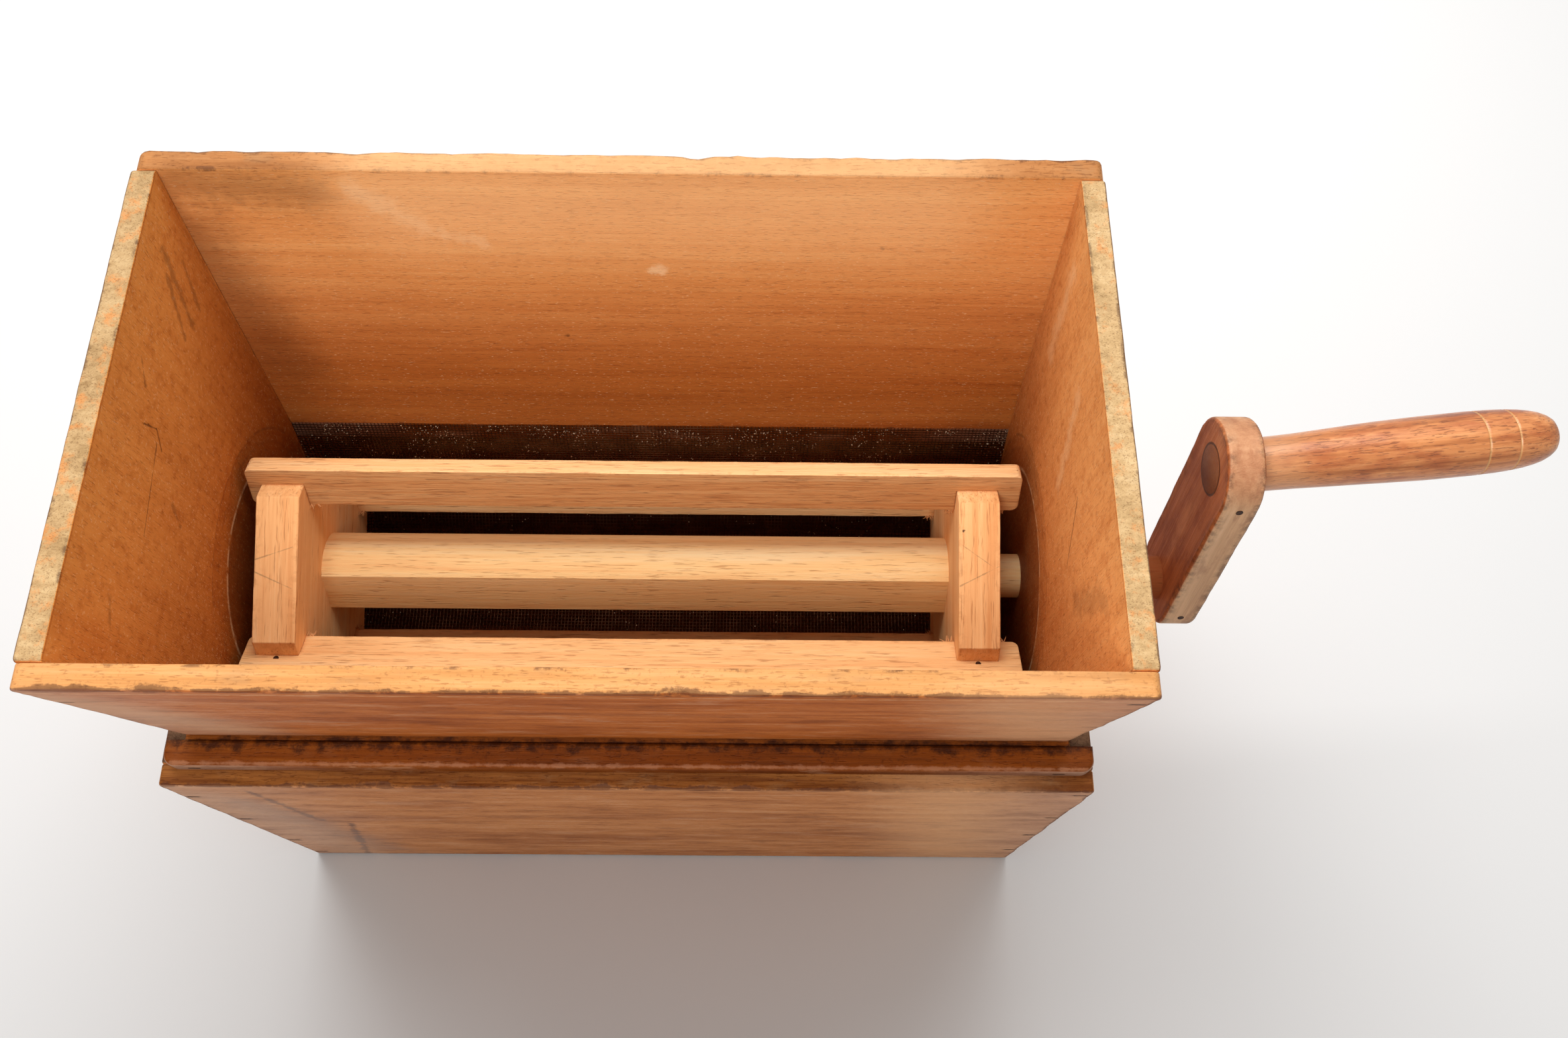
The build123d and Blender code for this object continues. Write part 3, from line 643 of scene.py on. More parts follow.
def make_case():
    outer = (rgb(160, 94, 46), rgb(190, 122, 70), rgb(210, 148, 98))
    rim = (rgb(80, 36, 10), rgb(108, 56, 16), rgb(166, 104, 48))
    shaded = (174, 20)
    half_l, top = REC_HIGH.x, REC_HIGH.z
    y = REC_LOW.y / MM
    marks = nail_stains(((152.8, 102.3, 43.9, 6.5), (168, 118.7, 74, 28.2)), y, 157.7)
    marks += [((-134, y, 165), (-129, y, 100), 2.6, 0.55, GREY_BLUE),
              ((-119, y, 92), (-137, y, 3), 2.4, 0.6, GREY_BLUE),
              ((-142, y, 140), (-122, y, 20), 14.0, 0.35, rgb(140, 118, 108)),
              ((112, y, 165), (128, y, 15), 46.0, 0.42, rgb(234, 178, 128)),
              ((-150, y, 150), (-140, y, 15), 22.0, 0.35, rgb(186, 156, 136))]
    front_finish = case_finish("receiver_long_wood", GRAIN_X, (0, 1, 0), 1.0, outer, INNER, rim, shaded,
                               marks)
    back_finish = case_finish("receiver_back_wood", GRAIN_X, (0, -1, 0), 5.0, outer, INNER, rim, shaded)
    rectangle = [(-half_l, 0), (half_l, 0), (half_l, top), (-half_l, top)]
    radii = [1.6 * MM] * 4
    rng = random.Random(3)
    chips = [(rng.uniform(-half_l, half_l), top, rng.uniform(3, 9) * MM, rng.uniform(0.2, 0.9) * MM)
             for _ in range(18)]
    slab("receiver_front", "receiver", rectangle, lambda u, v, w: (u, REC_LOW.y + w, v), BOARD,
         front_finish, radii=radii, soft=(0.9 * MM, 0.5 * MM), seed=1.0, wear=0.7, wobble=0.2 * MM,
         chips=chips, pitch=2.5 * MM, stands_for=["receiver_front_board"])
    slab("receiver_back", "receiver", rectangle, lambda u, v, w: (u, REC_BACK_HIGH.y - w, v), BOARD,
         back_finish, radii=radii, soft=(0.9 * MM, 0.5 * MM), seed=2.0, wear=0.7, wobble=0.2 * MM,
         stands_for=["receiver_back_board"])
    grimy = (rgb(74, 50, 34), rgb(104, 74, 52), rgb(138, 104, 76))
    left_finish = case_finish("receiver_left_wood", GRAIN_Z, (1, 0, 0), 9.0, outer, INNER, grimy, shaded)
    right_finish = case_finish("receiver_right_wood", GRAIN_Z, (-1, 0, 0), 13.0, outer, INNER, grimy,
                               shaded)
    half_w = END_HIGH.y
    end = [(-half_w, 0), (half_w, 0), (half_w, top), (-half_w, top)]
    slab("receiver_left", "receiver", end, lambda u, v, w: (-half_l + w, u, v), BOARD, left_finish,
         radii=[1.4 * MM] * 4, soft=(0.8 * MM, 0.6 * MM), seed=3.0, wear=0.7, wobble=0.2 * MM,
         stands_for=["receiver_left_end"])
    slotted = [(-half_w, 0), (half_w, 0), (half_w, top), (SLOT_R, top), (SLOT_R, AXIS_Z - SLOT_R),
               (-SLOT_R, AXIS_Z - SLOT_R), (-SLOT_R, top), (-half_w, top)]
    slab("receiver_right", "receiver", slotted, lambda u, v, w: (half_l - w, u, v), BOARD, right_finish,
         radii=[1.4 * MM] * 4 + [SLOT_R - 0.01 * MM] * 2 + [1.4 * MM] * 2,
         arc_steps=[4, 4, 4, 4, 10, 10, 4, 4],
         soft=(0.8 * MM, 0.6 * MM), seed=4.0, wear=0.7, wobble=0.2 * MM,
         stands_for=["receiver_right_end"])
    dress(frame["nodes"]["receiver_floor"], back_finish, 0.4 * MM)


def make_rails():
    hollow_y, hollow_z = 75.0, 179.5
    lip_y, lip_z = -82.0, 180.6
    shade = rgb(48, 18, 6)
    marks = [((-159, side * hollow_y, hollow_z), (161, side * hollow_y, hollow_z), 3.2, 0.85, shade)
             for side in (-1, 1)]
    marks += [((-157, lip_y, lip_z), (158, lip_y, lip_z), 1.0, 0.4, rgb(186, 130, 96))]
    f = case_finish("rail_wood", GRAIN_X, (0, 1, 0), 81.0, RAIL_WOOD, RAIL_WOOD, RAIL_WOOD, (180, 170),
                    marks, dirt=rgb(132, 84, 52))
    for node_name in ("front_rail", "back_rail", "screen_batten"):
        dress(frame["nodes"][node_name], f, 0.5 * MM)


# ================================== the hopper ==================================
def hopper_tangent(y, z, side):
    """Angle round the rotor axis where the cloth leaves the end boards' round foot for a board's foot."""
    rise = z - AXIS_Z
    return math.atan2(rise, y) + side * math.acos(SCREEN_R / math.hypot(y, rise))


FRONT_LEAN = (FRONT_HIGH.y - FRONT_LOW.y) - PANEL
BACK_LEAN = (BACK_HIGH.y - BACK_LOW.y) - PANEL
FRONT_FOOT = (FRONT_LOW.y + PANEL + FRONT_LEAN, FRONT_LOW.z)
BACK_FOOT = (BACK_HIGH.y - PANEL - BACK_LEAN, BACK_LOW.z)
FRONT_TOUCH = hopper_tangent(*FRONT_FOOT, 1)
BACK_TOUCH = hopper_tangent(*BACK_FOOT, -1)


def front_y(z):
    """Outer face of the hopper's front board at a height."""
    return FRONT_LOW.y + FRONT_LEAN * (FRONT_HIGH.z - z) / (FRONT_HIGH.z - FRONT_LOW.z)


def back_y(z):
    """Outer face of the hopper's back board at a height."""
    return BACK_HIGH.y - BACK_LEAN * (BACK_HIGH.z - z) / (BACK_HIGH.z - BACK_LOW.z)


def make_hopper():
    top, half_l = FRONT_HIGH.z, FRONT_HIGH.x
    outer = (rgb(152, 76, 26), rgb(182, 98, 38), rgb(202, 122, 60))
    gold = (rgb(172, 112, 58), rgb(202, 142, 84), rgb(218, 164, 110))

    # the back board's rim gets darker tones than the front's: painted shade against the key light from
    # behind
    back_gold_shaded = (rgb(150, 92, 46), rgb(176, 116, 66), rgb(192, 138, 88))

    def front_mark(x, z, x2, z2):
        return (x, front_y(z * MM) / MM, z), (x2, front_y(z2 * MM) / MM, z2)

    def back_mark(x, z, x2, z2):
        return (x, back_y(z * MM) / MM - 8, z), (x2, back_y(z2 * MM) / MM - 8, z2)

    front_marks = nail_stains(((265.9, 224.3), (278.3, 224.8)), lambda z: front_y(z * MM) / MM, 148.6)
    front_marks += [(*front_mark(60, 187, 149, 184), 0.6, 0.9, BLACKENED),
                    (*front_mark(-150, 284, 152, 284), 0.9, 0.5, rgb(226, 176, 128)),
                    (*front_mark(-60, 250, 40, 246), 7.0, 0.3, rgb(120, 58, 30)),
                    (*front_mark(118, 270, 138, 200), 42.0, 0.42, rgb(236, 180, 130)),
                    (*front_mark(-150, 270, -128, 200), 26.0, 0.45, rgb(208, 166, 132))]
    knot_and_shade_tone, pale = rgb(96, 52, 26), rgb(246, 214, 170)
    back_marks = [(*back_mark(-62, 226, -61, 226), 1.6, 0.7, knot_and_shade_tone),
                  (*back_mark(-27, 210, -26, 210), 1.2, 0.8, knot_and_shade_tone),
                  (*back_mark(85, 257.5, 88, 257), 1.0, 0.8, knot_and_shade_tone),
                  (*back_mark(85.5, 257, 87, 258.5), 0.8, 0.7, knot_and_shade_tone),
                  (*back_mark(8, 245, 10, 245), 3.5, 0.6, pale),
                  (*back_mark(-86, 282, -66, 265), 7.0, 0.4, pale),
                  (*back_mark(-60, 262, -50, 258), 5.0, 0.3, pale),
                  # the next two broad marks in the knot colour darken the inside's top left corner:
                  # painted shade
                  (*back_mark(-140, 284, -100, 280), 15.0, 0.42, knot_and_shade_tone),
                  (*back_mark(-142, 262, -132, 190), 24.0, 0.4, knot_and_shade_tone),
                  # a broad bright band along the top of the inside: painted light
                  (*back_mark(-70, 276, 95, 276), 40.0, 0.5, rgb(252, 202, 146))]
    front_finish = case_finish("hopper_front_wood", GRAIN_X, (0, 1, 0), 21.0, outer, INNER, gold,
                               (285, 180), front_marks)
    back_finish = case_finish("hopper_back_wood", GRAIN_X, (0, -1, 0), 25.0, outer, INNER, back_gold_shaded,
                              (285, 175), back_marks)
    rng = random.Random(7)
    chips = [(rng.uniform(-half_l, half_l), top, rng.uniform(3, 10) * MM, rng.uniform(0.2, 0.9) * MM)
             for _ in range(18)]
    slab("hopper_front", "hopper",
         [(-half_l, FRONT_LOW.z), (half_l, FRONT_LOW.z), (half_l, top), (-half_l, top)],
         lambda u, v, w: (u, front_y(v) + w, v), PANEL, front_finish,
         radii=[1.6 * MM, 1.6 * MM, 2.8 * MM, 2.8 * MM],
         soft=(1.1 * MM, 0.5 * MM), seed=11.0, wear=0.7, chips=chips, pitch=2.5 * MM, wobble=0.25 * MM,
         stands_for=["hopper_front_board"])
    slab("hopper_back", "hopper",
         [(-half_l, BACK_LOW.z), (half_l, BACK_LOW.z), (half_l, top), (-half_l, top)],
         lambda u, v, w: (u, back_y(v) - w, v), PANEL, back_finish,
         radii=[1.6 * MM, 1.6 * MM, 3.0 * MM, 4.2 * MM],
         soft=(1.2 * MM, 0.5 * MM), seed=12.0, wear=0.7, chips=chips, pitch=2.5 * MM, wobble=0.25 * MM,
         stands_for=["hopper_back_board"])
    make_hopper_ends(outer, half_l, top)


def make_hopper_ends(outer, half_l, top):
    y_front, y_back = FRONT_LOW.y + PANEL, BACK_HIGH.y - PANEL
    n_front = Vector((math.cos(FRONT_TOUCH), math.sin(FRONT_TOUCH)))
    n_back = Vector((math.cos(BACK_TOUCH), math.sin(BACK_TOUCH)))
    tip = (n_front + n_back) / (1 + n_front.dot(n_back)) * SCREEN_R
    outline = [(tip.x, AXIS_Z + tip.y), BACK_FOOT, (y_back, top), (y_front, top), FRONT_FOOT]
    x = (half_l - BOARD) / MM
    dark, pale = rgb(104, 60, 32), rgb(240, 206, 160)
    marks = {-1: [((-x, 62, 276), (-x, 50, 246), 2.2, 0.45, dark),
                  ((-x, 56, 270), (-x, 44, 250), 1.6, 0.45, dark),
                  ((-x, 66, 262), (-x, 58, 244), 1.8, 0.4, dark),
                  ((-x, 24, 274), (-x, 17, 268), 1.2, 0.6, dark),
                  ((-x, 6, 264), (-x, 8, 256), 0.5, 0.8, dark),
                  ((-x, 8, 256), (-x, 3, 250), 0.5, 0.8, dark),
                  ((-x, 4, 254), (-x, -26, 250), 0.4, 0.6, dark),
                  ((-x, -50, 262), (-x, -58, 258), 1.6, 0.4, dark),
                  ((-x, -10, 236), (-x, -14, 228), 1.2, 0.4, dark)],
             1: [((x, 60, 270), (x, 52, 232), 6.0, 0.35, pale),
                 ((x, 20, 262), (x, 4, 226), 5.0, 0.3, pale),
                 ((x, -10, 250), (x, -26, 228), 0.7, 0.6, dark),
                 ((x, -50, 270), (x, -40, 236), 7.0, 0.3, dark)]}
    for side, name, seed in ((-1, "left", 31.0), (1, "right", 35.0)):
        # the left end takes the darker inner tones, which are painted shade
        inner, rim = (SHADED_INNER_LEFT, LEFT_RIM) if side < 0 else (INNER, RIGHT_RIM)
        finish = case_finish(f"hopper_{name}_wood", GRAIN_Z, (-side, 0, 0), seed, outer, inner, rim,
                             (280, 140), marks[side], WEAR_R / MM, rgb(206, 128, 62))
        slab(f"hopper_{name}", "hopper", outline,
             lambda u, v, w, s=side: (s * (half_l - w), u, v), BOARD, finish,
             radii=[SCREEN_R, 0.0, 1.6 * MM, 1.6 * MM, 0.0], arc_steps=[64, 0, 4, 4, 0],
             soft=(0.7 * MM, 0.4 * MM), seed=seed, wear=0.7, fade=(0.3 * MM, 0.6 * MM), pitch=3 * MM,
             hole=(0.0, AXIS_Z, SHAFT_HOLE), recess=(WEAR_R, WEAR_DEPTH),
             stands_for=[f"hopper_{name}_end"])


# ================================== the cloth ==================================
CLOTH_PITCH = 1.45 * MM
SPECKS, SPECKS_AT_BACK = 4200, 1500
WIRE_R = 0.19 * MM
WEAVE = 0.22 * MM


def polar(angle, radius):
    return Vector((math.cos(angle) * radius, AXIS_Z + math.sin(angle) * radius))


def cloth_line(out, pitch):
    """Even points (y, z) and outward normals, from the front board's foot round to the back's."""
    front_n, back_n = (Vector((math.cos(a), math.sin(a))) for a in (FRONT_TOUCH, BACK_TOUCH))
    start, end = Vector(FRONT_FOOT) + front_n * out, Vector(BACK_FOOT) + back_n * out
    radius = SCREEN_R + out
    first, last = polar(FRONT_TOUCH, radius), polar(BACK_TOUCH, radius)
    sweep = BACK_TOUCH + math.tau - FRONT_TOUCH
    lengths = ((first - start).length, sweep * radius, (end - last).length)
    count = round(sum(lengths) / pitch)
    line = []
    for k in range(count + 1):
        run = sum(lengths) * k / count
        if run < lengths[0]:
            line.append((start.lerp(first, run / lengths[0]), front_n))
        elif run < lengths[0] + lengths[1]:
            angle = FRONT_TOUCH + (run - lengths[0]) / radius
            line.append((polar(angle, radius), Vector((math.cos(angle), math.sin(angle)))))
        else:
            line.append((last.lerp(end, (run - lengths[0] - lengths[1]) / lengths[2]), back_n))
    return line


def add_wire(verts, faces, points, sides):
    """A three-sided wire through points; sides gives its two cross directions at each point."""
    base = len(verts)
    for point, (a, b) in zip(points, sides):
        for k in range(3):
            turn = math.tau * k / 3
            verts.append(point + a * (WIRE_R * math.cos(turn)) + b * (WIRE_R * math.sin(turn)))
    for i in range(len(points) - 1):
        for k in range(3):
            low, next_low = base + 3 * i + k, base + 3 * i + (k + 1) % 3
            faces.append((low, next_low, next_low + 3, low + 3))
    last = base + 3 * (len(points) - 1)
    faces.append((base + 2, base + 1, base))
    faces.append((last, last + 1, last + 2))


def make_cloth():
    """Woven wire: straight wires along the length, waved wires round the U."""
    line = cloth_line(0.4 * MM, CLOTH_PITCH)
    half = SCREEN_HIGH.x - WIRE_R
    verts, faces = [], []
    along = Vector((1, 0, 0))
    for point, n in line[:-1]:
        tangent = Vector((0.0, -n.y, n.x))
        ends = [Vector((side * half, point.x, point.y)) for side in (-1, 1)]
        add_wire(verts, faces, ends, [(Vector((0.0, n.x, n.y)), tangent)] * 2)
    count = round(2 * half / CLOTH_PITCH)
    for j in range(count):
        x = -half + (j + 0.5) * 2 * half / count
        points, sides = [], []
        for i, (point, n) in enumerate(line):
            shift = WEAVE if (i + j) % 2 else -WEAVE
            points.append(Vector((x, point.x + n.x * shift, point.y + n.y * shift)))
            sides.append((Vector((0.0, n.x, n.y)), along))
        add_wire(verts, faces, points, sides)
    f = Finish("wire_cloth_metal", roughness=0.5, metallic=0.7)
    rust = f.noise(f.vector("SCALE", f.place(), scale=0.12), 4.0)
    f.colour(f.mix(f.step(rust, 0.4, 0.65), rgb(88, 52, 30), rgb(122, 84, 56)))
    add_mesh("wire_cloth", "hopper", verts, faces, f, ["screen"])


def add_mesh(name, body, verts, faces, finish, stands_for=()):
    data = bpy.data.meshes.new(name)
    data.from_pydata([tuple(v) for v in verts], [], faces)
    bm = bmesh.new()
    bm.from_mesh(data)
    bpy.data.meshes.remove(data)
    bmesh.ops.recalc_face_normals(bm, faces=bm.faces)
    return add_piece(name, body, bm, finish, stands_for)


def make_flour():
    """Specks of old flour caught in the cloth and under the back board."""
    rng = random.Random(11)
    line = cloth_line(0.05 * MM, 0.5 * MM)
    top = len(line) - 1
    half = SCREEN_HIGH.x - 2 * MM
    verts, faces = [], []
    for k in range(SPECKS):
        share = rng.random()
        if k < SPECKS_AT_BACK:
            place = top - int(rng.expovariate(1 / 22.0)) - 2
        else:
            place = int(top * share)
        point, n = line[max(3, min(place, top - 2))]
        x = rng.uniform(-half, half)
        clump = noise.noise(Vector((x * 60, place * 0.06, 3.0)))
        if clump < -0.15 + 0.2 * rng.random():
            continue
        size = rng.uniform(0.12, 0.30) * MM * (1.6 if rng.random() < 0.06 else 1.0)
        centre = Vector((x, point.x, point.y))
        out, up = Vector((0.0, n.x, n.y)), Vector((0.0, -n.y, n.x))
        base = len(verts)
        for direction in (Vector((1, 0, 0)), up, Vector((-1, 0, 0)), -up, out, -out):
            verts.append(centre + direction * size * rng.uniform(0.7, 1.3))
        for i in range(4):
            j = (i + 1) % 4
            faces.append((base + i, base + j, base + 5))
            faces.append((base + j, base + i, base + 4))
    f = Finish("old_flour", roughness=0.9)
    dust = f.noise(f.vector("SCALE", f.place(), scale=0.3), 3.0)
    f.colour(f.mix(f.step(dust, 0.38, 0.62), rgb(206, 178, 142), rgb(240, 224, 198)))
    add_mesh("flour_specks", "hopper", verts, faces, f)


# ================================== the rotor ==================================
def rotor_direction(angle):
    return Vector((0.0, math.cos(angle), math.sin(angle)))


PADDLES = (("paddle_front_upper", 0), ("paddle_back_upper", 1), ("paddle_back_lower", 2),
           ("paddle_front_lower", 3))
SPANS = {"left_plate": (PLATE_L_LOW.x, PLATE_L_HIGH.x), "right_plate": (PLATE_R_LOW.x, PLATE_R_HIGH.x)}
CENTRE = Vector((0.0, 0.0, AXIS_Z))
FRESH = (rgb(232, 166, 104), rgb(251, 196, 134), rgb(255, 216, 162))
SHAFT_WOOD = (rgb(244, 186, 122), rgb(254, 214, 150), rgb(255, 228, 176))


def paddle_angle(index):
    return math.pi - ROTOR_TILT - math.pi / 2 * index


def make_paddles():
    x0, x1 = PADDLE_LOW.x, PADDLE_HIGH.x
    left, right = SPANS["left_plate"], SPANS["right_plate"]
    outline = [(x0, PADDLE_IN), (left[0], PADDLE_IN), (left[0], NOTCH_R), (left[1], NOTCH_R),
               (left[1], PADDLE_IN), (right[0], PADDLE_IN), (right[0], NOTCH_R), (right[1], NOTCH_R),
               (right[1], PADDLE_IN), (x1, PADDLE_IN), (x1, PADDLE_OUT), (x0, PADDLE_OUT)]
    radii = [2.6 * MM] + [0.0] * 8 + [2.6 * MM, 2.2 * MM, 2.2 * MM]
    for name, index in PADDLES:
        angle = paddle_angle(index)
        out, across = rotor_direction(angle), rotor_direction(angle + math.pi / 2)

        def paddle_place(u, v, w, out=out, across=across):
            return CENTRE + Vector((u, 0, 0)) + out * v + across * (w - PADDLE_T / 2)

        # the back upper paddle's faces, turned to the front, are darkened in full as painted shade; the
        # others only a little, for saw marks
        sawn_face_shade = 1.0 if index == 1 else 0.15
        finish = fresh_finish(name + "_wood", ((1, 0, 0), tuple(out), tuple(across)), 41.0 + index, FRESH,
                              rough=0.6, sawn_and_shade=(out, sawn_face_shade))
        slab(name + "_board", "rotor", outline, paddle_place, PADDLE_T, finish, radii=radii,
             soft=(0.45 * MM, 0.45 * MM), seed=50.0 + index, wear=0.6, fade=(0.3 * MM, 1.0 * MM),
             wobble=0.15 * MM, pitch=3 * MM, stands_for=[name])


def make_plates():
    flat_along = rotor_direction(paddle_angle(0) - math.pi / 4 - math.pi / 2)
    flat_up = rotor_direction(paddle_angle(0) - math.pi / 4)
    pencil, hole = rgb(120, 84, 62), rgb(60, 34, 22)
    marks = [((-136.7, -10.2, 186.1), (-123.0, -5.8, 187.7), 0.3, 0.45, pencil),
             ((-136.6, -14.2, 184.7), (-123.1, -19.8, 182.7), 0.3, 0.45, pencil),
             ((116.5, -2.3, 188.9), (129.0, -10.5, 186.0), 0.3, 0.45, pencil),
             ((117.0, -17.1, 183.7), (131.2, -10.3, 186.1), 0.3, 0.45, pencil),
             ((118.2, 1.6, 190.3), (118.3, 1.7, 190.3), 0.9, 1.0, hole)]
    axes = (tuple(flat_along), (1, 0, 0), tuple(flat_up))
    finish = fresh_finish("plate_wood", axes, 45.0, FRESH, marks, 0.25)
    corners = [(PLATE_HALF, -PLATE_FLAT), (PLATE_HALF, PLATE_FLAT), (PLATE_FLAT, PLATE_HALF),
               (-PLATE_FLAT, PLATE_HALF), (-PLATE_HALF, PLATE_FLAT), (-PLATE_HALF, -PLATE_FLAT),
               (-PLATE_FLAT, -PLATE_HALF), (PLATE_FLAT, -PLATE_HALF)]
    for name, span in SPANS.items():
        slab(name + "_board", "rotor", corners,
             lambda u, v, w, x=span[0]: CENTRE + Vector((x + w, 0, 0)) + flat_along * u + flat_up * v,
             span[1] - span[0], finish, radii=[0.9 * MM] * 8, soft=(0.5 * MM, 0.5 * MM),
             seed=60.0 + span[0] * 10, wear=0.6, fade=(0.3 * MM, 2.0 * MM), wobble=0.15 * MM, pitch=3 * MM,
             stands_for=[name])


FIBRES_PER_CORNER = 12


def make_tufts():
    """Torn fibres left by the saw where the paddles are notched for the plates."""
    rng = random.Random(23)
    verts, faces = [], []
    for _, index in PADDLES:
        angle = paddle_angle(index)
        out, across = rotor_direction(angle), rotor_direction(angle + math.pi / 2)
        for low, high in SPANS.values():
            for x, side in ((low, -1), (high, 1)):
                for face in (-1, 1):
                    for _ in range(FIBRES_PER_CORNER):
                        root = CENTRE + Vector((x + side * rng.uniform(0.2, 3.2) * MM, 0, 0))
                        root += out * (PADDLE_IN + rng.uniform(0.0, 0.5) * MM)
                        root += across * face * (PADDLE_T / 2 - rng.uniform(0.3, 0.8) * MM)
                        reach = rng.uniform(0.8, 3.2) * MM
                        lean = Vector((side * rng.uniform(-0.4, 0.8), 0, 0)) - out * rng.uniform(0.5, 1.0)
                        lean = (lean + across * face * 0.3).normalized()
                        add_fibre(verts, faces, root, lean, reach, rng)
    torn = (rgb(196, 128, 76), rgb(226, 164, 108), rgb(240, 190, 136))
    finish = fresh_finish("torn_fibres", GRAIN_X, 49.0, torn)
    add_mesh("torn_fibres", "rotor", verts, faces, finish)


def add_fibre(verts, faces, root, direction, reach, rng):
    side = direction.orthogonal().normalized()
    other = direction.cross(side)
    bend = side * rng.uniform(-0.3, 0.3) + other * rng.uniform(-0.3, 0.3)
    base = len(verts)
    for share, width in ((-0.3, 0.30), (0.4, 0.22), (0.8, 0.12)):
        middle = root + direction * reach * share + bend * reach * share * abs(share)
        for k in range(3):
            turn = math.tau * k / 3
            verts.append(middle + (side * math.cos(turn) + other * math.sin(turn)) * width * MM)
    verts.append(root + direction * reach + bend * reach)
    for ring in (0, 3):
        for k in range(3):
            a, b = base + ring + k, base + ring + (k + 1) % 3
            faces.append((a, b, b + 3, a + 3))
    faces += [(base + 6 + k, base + 6 + (k + 1) % 3, base + 9) for k in range(3)]
    faces.append((base + 2, base + 1, base))


def make_shaft():
    finish = fresh_finish("shaft_wood", ((1, 0, 0), (0, 1, 0), (0, 0, 1)), 48.0, SHAFT_WOOD,
                          soiled=(152.5, rgb(150, 92, 60)))
    dress(frame["nodes"]["rotor_shaft"], finish, 0.3 * MM)


def dress(node, finish, bevel=0.0):
    """Gives a CAD node its material and, where asked, slightly broken edges."""
    node.data.materials.clear()
    node.data.materials.append(finish.material)
    if bevel:
        broken = node.modifiers.new("broken_edges", "BEVEL")
        broken.width = bevel
        broken.segments = 2
        broken.limit_method = "ANGLE"
        broken.angle_limit = math.radians(35)
        broken.harden_normals = True


# ================================== the crank ==================================
ARM_ALONG = rotor_direction(ARM_ANGLE)
ARM_ACROSS = rotor_direction(ARM_ANGLE + math.pi / 2)
HANDLE_ORIGIN = CENTRE + ARM_ALONG * ARM_LEN + Vector((ARM_LOW.x, 0, 0))
HANDLE_AXIS = Vector(HANDLE_LEAN).normalized()
HANDLE_FACE = (ARM_HIGH.x - ARM_LOW.x) / HANDLE_AXIS.x
# distance along the handle and radius there, then the distances of the two scribed rings, in mm
HANDLE_PROFILE = ((0.0, 9.4), (8.0, 9.42), (15.5, 9.55), (30.0, 10.12), (44.5, 10.7), (60.0, 11.08),
                  (76.5, 11.2), (84.0, 11.0), (89.5, 10.65), (94.0, 10.15), (97.5, 9.5), (100.5, 8.7),
                  (103.0, 7.6), (104.6, 6.5), (105.5, 5.3), (105.8, 4.0), (105.9, 1.0))
RINGS = (78.6, 89.4)


def arm_finish():
    brown = (rgb(144, 76, 38), rgb(188, 108, 58), rgb(214, 140, 86))
    worn = (rgb(180, 136, 100), rgb(212, 168, 126), rgb(230, 188, 148))
    f = Finish("arm_wood", roughness=0.55)
    place = f.place()
    axes = (tuple(ARM_ALONG), tuple(ARM_ACROSS), (1, 0, 0))
    maps = grain_maps(f, place, axes, 71.0)
    blot = f.noise(f.stretched(place, axes, (22, 12, 9), 74.0), 4.0, 0.65)
    knocks = f.noise(f.vector("SCALE", place, scale=0.25), 4.0, 0.7)
    face = wood_colour(f, maps, *brown)
    face = f.darken(f.step(blot, 0.42, 0.66) * 0.5, face, rgb(178, 130, 110))
    side = wood_colour(f, maps, *worn)
    side = f.mix(f.step(blot, 0.50, 0.64) * 0.5, side, rgb(150, 104, 76))
    crown = f.step(f.facing((0, 0, 1)), 0.1, 0.8)
    oiled = (rgb(160, 92, 54), rgb(184, 114, 72), rgb(200, 136, 92))
    side = f.mix(crown * 0.6, side, wood_colour(f, maps, *oiled))
    turned = f.step(f.math("ABSOLUTE", f.facing((1, 0, 0))), 0.75, 0.45)
    colour = f.mix(turned, face, side)
    edge = f.edge()
    colour = f.mix(edge * f.step(knocks, 0.40, 0.62) * 0.5, colour, BLACKENED)
    peg = HANDLE_ORIGIN / MM
    ring = f.math("ABSOLUTE", f.near_line(place, tuple(peg - Vector((2, 0, 0))), tuple(peg)) - 9.0)
    inner = f.step(f.facing((-1, 0, 0)), 0.6, 0.9)
    colour = f.mix(f.step(ring, 0.7, 0.25) * inner * 0.8, colour, BLACKENED)
    tip = CENTRE / MM + ARM_ALONG * (ARM_LEN / MM + 18.0)
    teal = tuple(tip + Vector((8.0, 0, 0)))
    bright = tuple(tip - ARM_ALONG * 3.0 + Vector((9.5, -9.5, 0)))
    marks = [(teal, teal, 2.6, 0.55, rgb(96, 136, 130)), (bright, bright, 4.0, 0.5, rgb(222, 190, 128))]
    colour = f.marked(colour, place, marks, knocks)
    f.colour(colour)
    f.feed("Roughness", 0.5 + blot * 0.16)
    f.bump(maps[2] * 0.5 + maps[1] * 0.9 + knocks * edge * 2.0, 0.4 * MM, 0.6)
    return f


